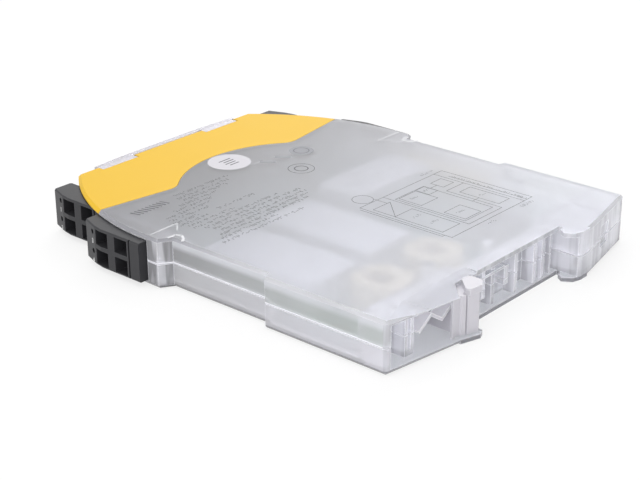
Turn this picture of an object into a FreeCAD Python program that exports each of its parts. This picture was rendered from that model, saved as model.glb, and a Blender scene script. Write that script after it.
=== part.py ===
import FreeCAD, Part
import math
import os

# Slim safety relay for a standard 35 mm rail, one 12.5 mm module wide.
# It lies on one flat side: +Z is the module's width, -Y is the yellow front,
# +Y is the rail side, and +X is the end that carries the rail latch.
# The origin is the centre of the outline, on the flat side that it rests on.

V = FreeCAD.Vector

# ---- overall sizes (mm) ----
module_w = 12.5          # width of one rail module
half_length = 50.0       # centre to the outer face of the lower terminal blocks
front_y = -60.0          # crown of the flap
rear_y = 60.0            # tip of the fixed rail hook
run_gap = 0.3            # clearance between pieces that move past each other
fit_gap = 0.15           # clearance between mouldings that are snapped together
mid_z = module_w / 2.0

# ---- housing outline ----
block_proud = 2.5        # how far the lower blocks stand out past the shoulders
shoulder_y = -15.35      # where the front shoulder runs into the straight side
shoulder_r = 64.4        # radius of the front shoulder
shoulder_end_y = -12.0   # rear end of the wide shoulder
waist_step = 3.1         # the waist lies this far inside the shoulder
waist_y = -10.0          # front end of the waist
hip_step = 1.2           # the rail part's side lies this far inside the shoulder
hip_y = 20.0             # front end of the rail part
skin = 1.2               # flat side walls
side_wall = 1.4          # walls round the edge
edge_break = 0.7         # bevel of the long outer edges
corner_r = 1.2           # rounding of the outline's corners
hip_slant = 0.7          # run of the small step at the hip
slope_end_y = 54.8       # rear corner at the latch end
slope_top_x = 24.5       # where the slanted rear edge meets the latch housing
slope_top_y = 58.0
latch_lip_x = 19.4       # rearmost corner of the latch housing
latch_lip_y = 59.6
far_slope_end_y = 55.2   # rear corner at the far end
far_slope_x = 23.2       # where the far slanted edge meets the fixed hook
hook_tip_x = 20.2        # flat of the fixed hook's tip
far_wall_x = 34.0        # wall between the two far hollows
window_from = 8.0        # shallow window in the far slanted face, from the hook's tip
window_len = 5.0
window_depth = 0.4
window_down = 2.0        # below and above mid height
window_up = 3.4
parting_gap = 0.16       # line between the two half shells
shelf = 1.0              # thin wings beside the terminal blocks
bay_wall = 1.0           # walls that carry the header pins
neck_cut_x = 3.2         # slanted corners of the neck, behind the hood's round corners
neck_cut_y = 4.4

# ---- yellow hood ----
hood_face_y = -58.1      # front edge of the hood's two flat sides
hood_wall = 1.2          # its front wall
face_recess = 1.5        # how deep the front wall lies behind that edge
arch_r = 30.6            # arch of the clear housing that reaches into the hood
arch_y = -10.0           # centre of that arch
wing_y = -28.75          # where the two wing edges would meet on the centre line
wing_slope = 0.157       # forward run of a wing edge per mm outwards
wing_corner_r = 5.0      # rounding where wing edge and arch meet
notch_near = 12.4        # finger notches in the hood's edge
notch_end = 1.3          # their outer end to the end of the recess under the flap
notch_depth = 2.5

# ---- front flap ----
flap_gap = 0.3           # flap to hood edge
flap_crown = 0.8         # how far the outside bulges between its ends
flap_flat = 8.0          # half length of the flat middle of that bulge
flap_pivot_in = 7.2      # hinge axis to the side of the neck
flap_end_gap = 0.7       # hinge axis to the end of the recess under the flap
plate_in = 2.3           # marking plate to the far end of that recess
plate_near = 1.5         # and to the middle
plate_margin = 2.2
plate_r = 0.5
plate_t = 0.6
flap_pivot_y = -57.4
knuckle_r = 0.95
flap_pin_r = 0.55
pin_play = 0.07
flap_swing = 1.3         # room beside the knuckle for the opened flap
flap_lip = 0.8           # thickness of the finger lips

# ---- terminal blocks ----
block_d = 7.6            # depth, along X
block_len = 20.6         # length, along Y
block_play = 0.25        # to the thin wings above and below
upper_block_y = -57.3    # front end of the two upper blocks
tier_gap = 0.3           # between an upper block and a lower one, along Y
pole_wall = 1.1          # wall between the openings of two poles
front_cut = 2.2          # slant of the outer face towards the front end
bow_cut = 0.5            # what is left of that slant where it turns
bow_start = 4.8          # it turns here, measured from the front end
bow_end = 7.4            # from here the outer face is straight
wire_start = 5.3         # wire opening, measured from the block's front end
wire_len = 4.6
tool_start = 12.3        # tool opening
tool_len = 4.3
entry_depth = 5.6
test_hole_r = 0.67
test_hole_y = 3.7
test_hole_up = 0.75      # above the middle of its pole
test_hole_depth = 2.0
groove_y = 3.5           # thin upright groove, measured from the rear end
groove_w = 0.5
groove_d = 0.5
block_bevel = 0.35
pin_size = 1.0           # square header pins
pin_inset = 2.3          # pin centre from the block's inner face
pin_reach = 3.2          # pin length inside the block
socket_play = 0.3        # round each pin
strip_t = 0.4            # clamp spring strip
strip_margin = 0.35      # clamp spring to the walls above and below
strip_reach = 3.6        # how far the strip's ends reach towards the mouth
strip_slant = 1.5        # rise of the clamping leg

# ---- pin headers ----
header_len = 1.7         # along Y
header_inner = 4.9       # from the pins inwards
header_outer = 1.3       # from the pins outwards

# ---- circuit board ----
board_t = 1.2
board_gap = 0.4          # to the walls round it
post_r = 2.0
post_in = 7.2            # front posts to the neck's sides
post_back = 1.6          # and to the front of the lower bays
rear_post_in = 8.3       # far rear post to the side of the rail part
rear_post_y = 30.0
peg_r = 0.9
peg_play = 0.1

# ---- rail side ----
rail_w = 35.0            # standard rail
rail_play = 0.1          # between rail edge and hooks
slot_floor_y = 54.0      # the rail's face rests here
rib_wall_y = 50.4        # recessed wall behind the slot
pocket_y = 47.8          # front wall of the open latch pocket
hook_lip = 1.0           # how far each hook reaches over the rail's edge
hook_root_y = 55.3       # the hooks start here, past a 1 mm rail edge
spring_room = 9.9        # from the latch's guide bar to the spring's post
post_w = 3.0             # spring post
post_end_y = 54.0        # the post ends here, inside the flat sides
post_slot_w = 1.0        # slot in the post's rear end
post_slot_d = 4.0
ledge_down = 2.1         # ledge between the ribs, below the cover
ledge_t = 0.7
ledge_in = 4.2           # its near end to the latch end of the slot
rib_t = 1.2
thick_rib_t = 1.6
rib_first = 8.0          # ribs, from the latch end of the slot
rib_second = 12.2
rib_third = 16.8
rib_fourth = 20.8
slat_count = 5           # fine slats at the far end of the slot
slat_first = 27.6        # near side of the first slat to the latch end of the slot
slat_pitch = 1.7
slat_w = 0.6
rib_gap = 0.8
ridge_y = 50.8           # ridge from which the latch end slopes down
ridge_drop = 0.9         # drop of that slope at the rear edge
latch_travel = 1.8
latch_d = 6.0            # latch body, along X
latch_play = 0.1         # latch to the rail's edge
nose_extra = 0.6         # the nose reaches this far past the fixed lip
nose_end_y = 58.0
latch_heel_y = 57.3      # rear corner of the latch body, away from the nose
bar_w = 2.5              # thin flange beside the latch body, over the spring
bar_y = 56.3
bar_t = 0.6
head_x = 19.0            # head on top of the latch
head_y = 53.8
head_slant = 3.4
nose_slant = 1.9         # lead-in of the hooked nose
spring_t = 0.7           # zigzag strip
spring_w = 3.4           # its width, along Y
spring_end_y = 55.2      # its visible edge
spring_legs = 3
spring_swing = 2.6       # height of the zigzag
spring_lift = 1.0        # middle of the zigzag above the module's middle

# ---- inner pieces ----
relay_clear = 0.7        # under the cover
relay_bevel = 0.5
relay_foot = 0.6         # thin base, set in all round
relay_foot_in = 0.4
relay_w = 16.4
relay_len = 32.8
relay_wall_gap = 2.0     # between the near relay and the housing wall
relay_pair_gap = 5.2     # between the two large relays
near_relay_y = 13.1      # middles of the three relays
middle_relay_y = 11.6
far_relay_y = -2.2
far_relay_w = 14.4
far_relay_gap = 8.4      # from the middle relay to the third one
choke_w = 12.5
choke_cut = 3.0          # cut corners
choke_clear = 1.0        # under the cover
core_r = 3.4
core_sink = 0.4
dimple_r = 1.0
dimple_d = 1.2
near_choke_in = 5.8      # to the middle of the relay beside it
near_choke_y = 38.0
middle_choke_in = 10.2   # to the latch end of the rail slot
middle_choke_y = 37.4
can_r = 3.1
can_len = 11.0
can_y = 30.0
can_first_x = -16.5
can_pitch = 8.0
can_groove_y = 1.2
can_groove_w = 0.8
can_groove_d = 0.3
chip_w = 7.0
chip_len = 10.0
chip_h = 1.6
chip_x = 14.0
chip_y = -20.0
lead_pitch = 1.6
lead_w = 0.5
lead_reach = 0.9
lead_h = 0.4
chip_stand = 0.15
driver_gap = 1.0         # optocoupler block to the housing wall, and to the third relay
driver_w = 6.2
driver_len = 26.6
driver_y = 5.8           # its middle
driver_h = 5.4
light_count = 5
light_pitch = 4.4
light_first_x = 3.0
light_side = 1.8         # square light windows
light_play = 0.12
light_rise = 1.3         # middle of the windows above the board
light_body = 2.2         # the lights on the board
light_body_h = 2.4
light_body_y = -53.0
guide_bar_t = 0.9
guide_bar_over = 0.6     # bar past the outer windows
guide_gap = 0.2          # bar to front wall
guide_proud = 0.2        # windows past the front wall


def box(x0, x1, y0, y1, z0, z1):
    """Block between two opposite corners."""
    return Part.makeBox(x1 - x0, y1 - y0, z1 - z0, V(x0, y0, z0))


def post(x, y, r, z0, z1):
    """Upright cylinder."""
    return Part.makeCylinder(r, z1 - z0, V(x, y, z0))


def outline(corners):
    """Face inside a closed outline; each corner is (x, y, rounding radius)."""
    edges = []
    ends = []
    n = len(corners)
    for i in range(n):
        here = V(corners[i][0], corners[i][1], 0)
        to_last = V(corners[i - 1][0], corners[i - 1][1], 0) - here
        to_next = V(corners[(i + 1) % n][0], corners[(i + 1) % n][1], 0) - here
        radius = corners[i][2]
        if radius <= 0:
            ends.append((here, None, here))
            continue
        to_last.normalize()
        to_next.normalize()
        half = to_last.getAngle(to_next) / 2.0
        back = radius / math.tan(half)
        bisector = to_last + to_next
        bisector.normalize()
        middle = here + bisector * (radius / math.sin(half) - radius)
        ends.append((here + to_last * back, middle, here + to_next * back))
    for i in range(n):
        start, middle, stop = ends[i]
        if middle is not None:
            edges.append(Part.Arc(start, middle, stop).toShape())
        following = ends[(i + 1) % n][0]
        if (following - stop).Length > 1e-6:
            edges.append(Part.makeLine(stop, following))
    return Part.Face(Part.Wire(edges))


def prism(face, z0, z1):
    """Face at height zero, moved to z0 and drawn up to z1."""
    solid = face.extrude(V(0, 0, z1 - z0))
    solid.translate(V(0, 0, z0))
    return solid


def mirrored(shape):
    """The same piece at the other end of the relay."""
    return shape.mirror(V(0, 0, 0), V(1, 0, 0))


def both_ends(shape):
    return [shape, mirrored(shape)]


def union(first, others):
    return first.fuse(others).removeSplitter() if others else first


def group(shapes):
    """Several separate solids in one node."""
    return shapes[0] if len(shapes) == 1 else Part.makeCompound(shapes)


# ---- places that several pieces share ----
far = 2 * half_length    # past every outline
shoulder_x = half_length - block_proud
waist_x = shoulder_x - waist_step
hip_x = shoulder_x - hip_step
block_h = module_w - 2 * (shelf + block_play)
pole_pitch = block_h / 2.0
entry_h = pole_pitch - pole_wall
lower_inner_x = half_length - block_d
upper_outer_x = lower_inner_x - run_gap
upper_inner_x = upper_outer_x - block_d
neck_x = upper_inner_x - run_gap
bay_x = lower_inner_x - run_gap
flap_pivot_x = neck_x - flap_pivot_in
window_x = flap_pivot_x - flap_end_gap
notch_far = window_x - notch_end
lower_block_y = upper_block_y + block_len + tier_gap
upper_bay_y = upper_block_y + block_len + run_gap
lower_bay_y = lower_block_y + block_len + run_gap
block_z = shelf + block_play
neck_z = shelf + fit_gap
board_top = mid_z - pole_pitch / 2.0 - pin_size / 2.0 - fit_gap
board_z = board_top - board_t
neck_skin = board_z - fit_gap - neck_z
inner_top = module_w - skin
hood_front_y = hood_face_y + face_recess
neck_front_y = hood_front_y + hood_wall + run_gap
hook_x = rail_w / 2.0 + rail_play
latch_x = hook_x
latch_end_x = latch_x + latch_d
post_x = latch_end_x + bar_w + spring_room
pocket_end_x = post_x + post_w
pocket_wall_y = pocket_y - skin
rib_inner_y = rib_wall_y - skin
far_block_x = hook_x + 1.6
near_relay_x = waist_x - side_wall - relay_wall_gap - relay_w / 2.0
middle_relay_x = near_relay_x - relay_w - relay_pair_gap
near_choke_x = near_relay_x - near_choke_in
middle_choke_x = hook_x - middle_choke_in
driver_x = -waist_x + side_wall + driver_gap
far_relay_x0 = driver_x + driver_w + driver_gap
far_relay_x1 = middle_relay_x - relay_w / 2.0 - far_relay_gap
far_relay_x = (far_relay_x0 + far_relay_x1) / 2.0
far_relay_len = far_relay_x1 - far_relay_x0
light_z = board_top + light_rise
light_last_x = light_first_x + light_pitch * (light_count - 1)


def full_outline():
    """Plan of the whole housing with the hood on it, without the front shoulder."""
    front = hood_face_y
    return outline([
        (shoulder_x, front, 0),
        (shoulder_x, shoulder_end_y, 0), (waist_x, waist_y, 0),
        (waist_x, hip_y, 0), (hip_x, hip_y + hip_slant, 0),
        (hip_x, slope_end_y, corner_r), (slope_top_x, slope_top_y, 3.0),
        (latch_lip_x, latch_lip_y, 0.6), (hook_x, latch_lip_y - 0.7, 0.5),
        (hook_x, slot_floor_y, 0), (-far_block_x, slot_floor_y, 0.2),
        (-far_block_x, hook_root_y - 0.2, 0.2), (-hook_x - 0.2, hook_root_y, 0),
        (-hook_x + hook_lip, hook_root_y + 1.7, 0.5), (-hook_x - 0.5, rear_y - 0.7, 0.7),
        (-hook_tip_x, rear_y, 0.8), (-far_slope_x, rear_y, 1.2),
        (-hip_x, far_slope_end_y, corner_r),
        (-hip_x, hip_y + hip_slant, 0), (-waist_x, hip_y, 0),
        (-waist_x, waist_y, 0), (-shoulder_x, shoulder_end_y, 0),
        (-shoulder_x, front, 0)])


def shoulder_mask():
    """Everything inside the two large shoulder arcs, drawn through the module."""
    centre = shoulder_x - shoulder_r
    disc = post(centre, shoulder_y, shoulder_r, 0, module_w)
    lens = disc.common(mirrored(disc))
    front = lens.common(box(-shoulder_x, shoulder_x, hood_face_y, shoulder_y, 0, module_w))
    behind = box(-shoulder_x, shoulder_x, shoulder_y, rear_y, 0, module_w)
    return front.fuse(behind).removeSplitter()


def side_bevel(ax, ay, bx, by):
    """Wedges along both edges of a straight side from a to b, the body on its left."""
    run = V(bx - ax, by - ay, 0)
    out = V(run.y, -run.x, 0)
    out.normalize()
    corner = V(ax, ay, module_w)
    down = V(0, 0, -2 * edge_break)
    upper = Part.Face(Part.makePolygon([corner - out * edge_break, corner + out * edge_break,
                                        corner + out * edge_break + down,
                                        corner - out * edge_break])).extrude(run)
    return [upper, upper.mirror(V(0, 0, mid_z), V(0, 0, 1))]


def outer_block():
    """Housing and hood as one solid block with its long edges bevelled."""
    block = prism(full_outline(), 0, module_w).common(shoulder_mask()).removeSplitter().Solids[0]
    edges = []
    for edge in block.Edges:
        box_of = edge.BoundBox
        flat = box_of.ZLength < 1e-6 and (box_of.ZMin < 1e-6 or box_of.ZMax > module_w - 1e-6)
        if flat and box_of.YMax < hip_y + 0.1:
            edges.append(edge)
    block = block.makeChamfer(edge_break, edges)
    wedges = side_bevel(hip_x, hip_y, hip_x, slope_end_y)
    wedges += side_bevel(hip_x, slope_end_y, slope_top_x, slope_top_y)
    wedges += side_bevel(-hip_x, far_slope_end_y, -hip_x, hip_y)
    wedges += side_bevel(-far_slope_x, rear_y, -hip_x, far_slope_end_y)
    for wedge in wedges:
        block = block.cut(wedge)
    return block.removeSplitter()


def housing_zone(gap, z0, z1):
    """The part of the plan behind the hood's rear edge, pulled back by a gap."""
    shift = gap * math.hypot(1, wing_slope)
    apex = wing_y + shift
    behind = prism(outline([(0, apex, 0), (far, apex - wing_slope * far, 0), (far, far, 0),
                            (-far, far, 0), (-far, apex - wing_slope * far, 0)]), z0, z1)
    zone = behind.fuse(post(0, arch_y, arch_r - gap, z0, z1)).removeSplitter()
    corners = []
    for edge in zone.Edges:
        vertical = edge.BoundBox.ZLength > (z1 - z0) * 0.99
        start = edge.Vertexes[0].Point
        inside = abs(start.x) < arch_r and arch_y - arch_r < start.y < 0 and abs(start.x) > 1
        if vertical and inside:
            corners.append(edge)
    return zone.makeFillet(wing_corner_r + gap, corners)


def neck():
    """Middle body that carries the hood and walls off the upper terminal bays."""
    half = [(neck_x - neck_cut_x, neck_front_y, 0), (neck_x, neck_front_y + neck_cut_y, 0),
            (neck_x, upper_bay_y, 0), (bay_x, upper_bay_y, 0), (bay_x, lower_bay_y + 4, 0)]
    other = [(-x, y, r) for x, y, r in reversed(half)]
    return prism(outline(half + other), neck_z, module_w - neck_z)


def neck_room():
    """Room inside the neck, open towards the hood."""
    inner = neck_x - side_wall
    half = [(inner - neck_cut_x, neck_front_y - 1, 0), (inner - neck_cut_x, neck_front_y, 0),
            (inner, neck_front_y + neck_cut_y, 0), (inner, upper_bay_y + bay_wall, 0),
            (bay_x - side_wall, upper_bay_y + bay_wall, 0), (bay_x - side_wall, lower_bay_y, 0)]
    other = [(-x, y, r) for x, y, r in reversed(half)]
    return prism(outline(half + other), neck_z + neck_skin, module_w - neck_z - neck_skin)


def main_room():
    """Room inside the main body, behind the neck."""
    front = lower_bay_y + bay_wall
    half = [(bay_x - side_wall, hood_face_y, 0), (bay_x - side_wall, front, 0),
            (shoulder_x - side_wall, front, 0),
            (shoulder_x - side_wall, shoulder_end_y - 0.5, 0),
            (waist_x - side_wall, waist_y - 0.5, 0),
            (waist_x - side_wall, hip_y + side_wall, 0), (hip_x - side_wall, hip_y + side_wall, 0),
            (hip_x - side_wall, pocket_wall_y, 0)]
    other = [(-x, y, r) for x, y, r in reversed(half)]
    room = prism(outline(half + other), skin, inner_top)
    return room.common(housing_zone(side_wall, skin, inner_top))


def rear_room():
    """Bulge of the inner room behind the rail slot's ribs."""
    return box(-far_block_x - skin + side_wall, hook_x - side_wall - 1.0,
               pocket_wall_y - 1, rib_inner_y, skin, inner_top)


def lower_bay():
    """Open bay of a lower terminal block, between its two thin wings."""
    return box(bay_x, far, upper_bay_y - 1, lower_bay_y, shelf, module_w - shelf)


def rail_pockets():
    """Everything cut out between the flat sides on the rail side."""
    latch_room = box(hook_x - 0.1, post_x, pocket_y, far, skin, inner_top)
    slot_room = box(-far_block_x, hook_x - 0.1 - skin, rib_wall_y, far, skin, inner_top)
    corner_bay = box(pocket_end_x, hip_x - side_wall, pocket_y, far, skin, inner_top)
    past_post = box(post_x - 1.0, pocket_end_x + 1.0, post_end_y, far, skin, inner_top)
    middle = (post_x + pocket_end_x) / 2.0
    post_slot = box(middle - post_slot_w / 2.0, middle + post_slot_w / 2.0,
                    post_end_y - post_slot_d, far, 2 * skin, inner_top)
    return [latch_room, slot_room, corner_bay, past_post, post_slot]


def far_block_room():
    """Closed hollow inside the fixed hook's block, with the hook itself left solid."""
    near = -far_block_x - skin - 2.2
    return prism(outline([(near, pocket_y, 0.5), (near, rear_y - 3.0, 0.5),
                          (-far_wall_x, rear_y - 4.4, 0), (-far_wall_x, pocket_y, 0)]), skin, inner_top)


def far_corner_room():
    """Second hollow, towards the far corner."""
    near = -far_wall_x - side_wall
    outer = -hip_x + side_wall
    return prism(outline([(near, pocket_y, 0), (near, rear_y - 4.6, 0),
                          (outer, far_slope_end_y - 1.6, 0.5), (outer, pocket_y, 0)]), skin, inner_top)


def slope_cut():
    """Wedges that let the latch end of the upper side slope down to its rear edge."""
    run = rear_y - ridge_y
    corner = V(hip_x, slope_end_y, module_w)
    bend = V(post_x, ridge_y, module_w)
    start = V(hook_x - 4.0, ridge_y, module_w)
    drop = ridge_drop * run / (slope_end_y + 1.5 - ridge_y)
    wedges = []
    for first, last in ((start, bend), (bend, corner + (corner - bend) * 0.3)):
        along = last - first
        outward = V(-along.y, along.x, 0)
        outward.normalize()
        steep = drop / math.cos(math.atan2(along.y, along.x))
        ends = []
        for place in (first, last):
            away = place + outward * run
            ends.append(Part.makePolygon([place, away + V(0, 0, 2), away - V(0, 0, steep), place]))
        wedges.append(Part.makeLoft(ends, True, True))
    return wedges


def vent_ribs():
    """Ribs, ledge and fine slats that stiffen the wall behind the rail slot."""
    root = rib_wall_y - 0.2
    lip = slot_floor_y - run_gap
    low = skin - 0.1
    high = inner_top + 0.1
    ledge = inner_top - ledge_down
    first = hook_x - rib_first
    second = hook_x - rib_second
    third = hook_x - rib_third
    fourth = hook_x - rib_fourth
    ribs = [box(first, first + rib_t, root, lip - 0.2, mid_z - 2.0, high),
            box(second, second + rib_t, root, lip - 0.6, low, high),
            box(third, third + thick_rib_t, root, lip, mid_z - 1.3, ledge + 0.4),
            box(fourth, fourth + rib_t, root, lip - 0.2, low, high),
            box(third + thick_rib_t, hook_x - ledge_in, root, lip, ledge, ledge + ledge_t)]
    for i in range(slat_count):
        x = hook_x - slat_first - slat_pitch * i
        ribs.append(box(x, x + slat_w, root, lip - 0.5 * (i % 2), low, high))
    return ribs


def shoulder_ribs():
    """Cross rib and snap bracket inside each shoulder, behind the lower bays."""
    rib_y = lower_bay_y + bay_wall + header_len + rib_gap
    rib_x = waist_x - side_wall - 2.8
    rib = box(rib_x, rib_x + 0.8, rib_y, waist_y + 1.5, skin - 0.1, board_z - 0.2)
    bracket = box(waist_x - side_wall - 1.6, waist_x - side_wall + 0.1, waist_y + 2.4, waist_y + 3.2,
                  skin - 0.1, board_z - 0.2)
    return both_ends(rib) + both_ends(bracket)


post_places = [(post_in - neck_x, upper_bay_y - post_back), (neck_x - post_in, upper_bay_y - post_back),
               (rear_post_in - hip_x, rear_post_y), (latch_x - 1.0, pocket_wall_y - 2 * post_r + 0.4)]


def pin_holes():
    """Square ways through the bay walls for the header pins."""
    side = pin_size / 2.0 + socket_play
    cuts = []
    for pin_x, wall_y in ((upper_inner_x + pin_inset, upper_bay_y),
                          (lower_inner_x + pin_inset, lower_bay_y)):
        for z in (mid_z - pole_pitch / 2.0, mid_z + pole_pitch / 2.0):
            cuts += both_ends(box(pin_x - side, pin_x + side, wall_y - 1, wall_y + bay_wall + 1,
                                  z - side, z + side))
    return cuts


def housing(block):
    """The clear housing in one piece, before it is parted at mid height."""
    body = block.common(housing_zone(0, 0, module_w))
    body = body.cut(both_ends(lower_bay()))
    body = body.fuse(neck())
    body = body.cut([neck_room(), main_room(), rear_room()])
    body = body.cut(rail_pockets() + [far_block_room(), far_corner_room()] + pin_holes())
    return body.removeSplitter()


def side_window():
    """Shallow window in the fixed hook's slanted outer face."""
    start = V(-far_slope_x, rear_y, 0)
    along = V(-hip_x, far_slope_end_y, 0) - start
    along.normalize()
    outward = V(along.y, -along.x, 0)
    start = start + along * window_from
    corners = [start - outward * window_depth, start - outward * window_depth + along * window_len,
               start + outward + along * window_len, start + outward]
    face = Part.Face(Part.makePolygon(corners + corners[:1]))
    return prism(face, mid_z - window_down, mid_z + window_up)


def housing_base(body):
    lower = body.common(box(-far, far, -far, far, -1, mid_z - parting_gap / 2.0))
    extras = shoulder_ribs()
    for x, y in post_places:
        extras.append(post(x, y, post_r, skin - 0.1, board_z))
        extras.append(post(x, y, peg_r, skin, board_top - 0.3))
    ribs = [rib.common(box(-far, far, -far, far, 0, mid_z - parting_gap / 2.0))
            for rib in vent_ribs()]
    extras += [rib for rib in ribs if rib.Volume > 0]
    return union(lower, extras).cut(side_window()).removeSplitter()


def latch_opening():
    """Notch in the upper side round the latch head, as long as its travel."""
    reach = latch_travel + run_gap
    near = head_x + reach
    front = head_y - run_gap
    return prism(outline([(latch_x - hook_lip - 2 * run_gap - nose_extra, front, 0), (near, front, 0.8),
                          (near + head_slant + 0.4, nose_end_y - 0.6, 0),
                          (near + head_slant + 0.4, far, 0),
                          (latch_x - hook_lip - 2 * run_gap - nose_extra, far, 0)]),
                 inner_top - 1.0, module_w + 1)


def housing_cover(body):
    upper = body.common(box(-far, far, -far, far, mid_z + parting_gap / 2.0, module_w + 1))
    extras = []
    for x, y in post_places:
        ceiling = module_w - neck_z - neck_skin if y < wing_y else inner_top
        extras.append(post(x, y, post_r - 0.4, board_top, ceiling + 0.1)
                      .cut(post(x, y, peg_r + peg_play, board_top - 1, board_top + 1.5)))
    ribs = [rib.common(box(-far, far, -far, far, mid_z + parting_gap / 2.0, module_w))
            for rib in vent_ribs()]
    extras += [rib for rib in ribs if rib.Volume > 0]
    upper = union(upper, extras)
    return upper.cut(slope_cut() + [latch_opening(), side_window()]).removeSplitter()


def hood(block):
    """Yellow front: two flat wings joined by the front wall and its round corners."""
    body = block.cut(housing_zone(-fit_gap, -1, module_w + 1))
    slant = neck_x + fit_gap
    half = [(slant - neck_cut_x, neck_front_y - run_gap, 0),
            (slant, neck_front_y + neck_cut_y - run_gap, 0), (slant, upper_bay_y, 0),
            (far, upper_bay_y, 0), (far, 0, 0)]
    other = [(-x, y, r) for x, y, r in reversed(half)]
    inside = prism(outline(half + other), shelf, module_w - shelf)
    bay = box(upper_inner_x - run_gap + 0.1, far, -far, 0, shelf, module_w - shelf)
    body = body.cut([inside] + both_ends(bay))
    window = box(-window_x, window_x, -far, hood_front_y, shelf, module_w - shelf)
    knuckle_room = box(window_x - 1, flap_pivot_x + knuckle_r + flap_swing, -far,
                       flap_pivot_y + knuckle_r + run_gap, shelf, module_w - shelf)
    pivot = post(flap_pivot_x, flap_pivot_y, flap_pin_r + pin_play, 0.4, module_w - 0.4)
    notches = both_ends(box(notch_near, notch_far, -far, hood_face_y + notch_depth, -1, module_w + 1))
    plates = box(-far, far, -far, hood_front_y + 0.01, shelf, module_w - shelf)
    notches = [notch.cut(plates) for notch in notches]
    lights = [light_window(i, light_play, 1.0, 1.0) for i in range(light_count)]
    body = body.cut([window, knuckle_room, pivot] + notches + lights)
    return body.removeSplitter()


def light_window(i, play, before, after):
    """Square bar through the front wall at the i-th status light."""
    x = light_first_x + light_pitch * i
    half = light_side / 2.0 + play
    return box(x - half, x + half, hood_front_y - before, hood_front_y + hood_wall + after,
               light_z - half, light_z + half)


def flap_arc(end_x, end_y, flat_x):
    """Outer curve of the flap, from one end to the flat middle, which it meets tangentially."""
    run = abs(end_x - flat_x)
    rise = end_y - front_y
    radius = (run * run + rise * rise) / (2.0 * rise)
    half_turn = math.atan2(rise, run)
    sign = 1 if end_x > flat_x else -1
    middle = V(flat_x + sign * radius * math.sin(half_turn),
               front_y + radius * (1 - math.cos(half_turn)), 0)
    return Part.Arc(V(end_x, end_y, 0), middle, V(flat_x, front_y, 0)).toShape()


def front_flap():
    """Clear flap: crowned outside, flat inside, with finger lips and two hinge pins."""
    inner = hood_face_y - flap_gap
    left = -window_x + 0.3
    right = flap_pivot_x - 1.4
    tip = front_y + flap_crown
    crown = Part.makeLine(V(-flap_flat, front_y, 0), V(flap_flat, front_y, 0))
    bulge = [flap_arc(left, tip, -flap_flat), crown, flap_arc(right, tip, flap_flat)]
    lines = Part.makePolygon([V(right, tip, 0), V(flap_pivot_x, flap_pivot_y - knuckle_r, 0),
                              V(flap_pivot_x, inner + 0.6, 0), V(right, inner, 0),
                              V(left, inner, 0), V(left, tip, 0)])
    rim = Part.Wire(Part.__sortEdges__(bulge + lines.Edges))
    plate = prism(Part.Face(rim), run_gap, module_w - run_gap)
    ears = box(flap_pivot_x - 2.2, flap_pivot_x + 2, front_y - 1, 0, 0, shelf + run_gap)
    plate = plate.cut([ears, ears.translated(V(0, 0, module_w - shelf - run_gap))])
    knuckle = post(flap_pivot_x, flap_pivot_y, knuckle_r, shelf + run_gap, module_w - shelf - run_gap)
    pin = post(flap_pivot_x, flap_pivot_y, flap_pin_r, 0.5, module_w - 0.5)
    lips = []
    for z in (0.1, module_w - 0.1 - flap_lip):
        lips += both_ends(box(notch_near + run_gap, notch_far - run_gap, inner - 0.3,
                              hood_face_y + notch_depth - run_gap, z, z + flap_lip))
    return union(plate, [knuckle, pin] + lips)


def marking_plate():
    """White plate clipped on the front wall, under the flap."""
    low = plate_margin
    high = module_w - plate_margin
    start = plate_in - window_x
    plate = outline([(start, low, plate_r), (-plate_near, low, plate_r),
                     (-plate_near, high, plate_r), (start, high, plate_r)])
    plate.rotate(V(0, 0, 0), V(1, 0, 0), 90)
    solid = plate.extrude(V(0, -plate_t, 0))
    solid.translate(V(0, hood_front_y, 0))
    return solid


def terminal_block():
    """Plug-in block for the upper bay of the +X end, with two square openings a pole."""
    outer = upper_outer_x
    inner = upper_inner_x
    front = upper_block_y
    rear = front + block_len
    z0 = block_z
    z1 = block_z + block_h
    groove = rear - groove_y
    body = prism(outline([(inner, front + 0.4, 0), (inner + 0.4, front, 0),
                          (outer - front_cut, front, 0), (outer - bow_cut, front + bow_start, 0),
                          (outer, front + bow_end, 0), (outer, rear, 0), (inner, rear, 0)]), z0, z1)
    long_edges = [e for e in body.Edges if e.BoundBox.ZLength < 1e-6
                  and e.BoundBox.XMin > outer - front_cut - 0.01 and e.BoundBox.YLength > 1]
    body = body.makeChamfer(block_bevel, long_edges)
    cuts = [box(outer - groove_d, outer + 1, groove, groove + groove_w, z0 - 1, z1 + 1)]
    pin_x = inner + pin_inset
    side = pin_size / 2.0 + socket_play
    root = outer - entry_depth
    for z in pole_heights():
        low = z - entry_h / 2.0
        high = z + entry_h / 2.0
        for start, size in ((wire_start, wire_len), (tool_start, tool_len)):
            cuts.append(box(root, outer + 1, front + start, front + start + size, low, high))
        cuts.append(box(root, root + entry_depth * 0.3, front + wire_start,
                        front + tool_start + tool_len, low, high))
        cuts.append(Part.makeCylinder(test_hole_r, test_hole_depth + 1,
                                      V(outer - test_hole_depth, front + test_hole_y, z + test_hole_up),
                                      V(1, 0, 0)))
        cuts.append(box(pin_x - side, pin_x + side, rear - pin_reach - socket_play, rear + 1,
                        z - side, z + side))
    return body.cut(cuts).removeSplitter()


def pole_heights():
    return (mid_z - pole_pitch / 2.0, mid_z + pole_pitch / 2.0)


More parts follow.
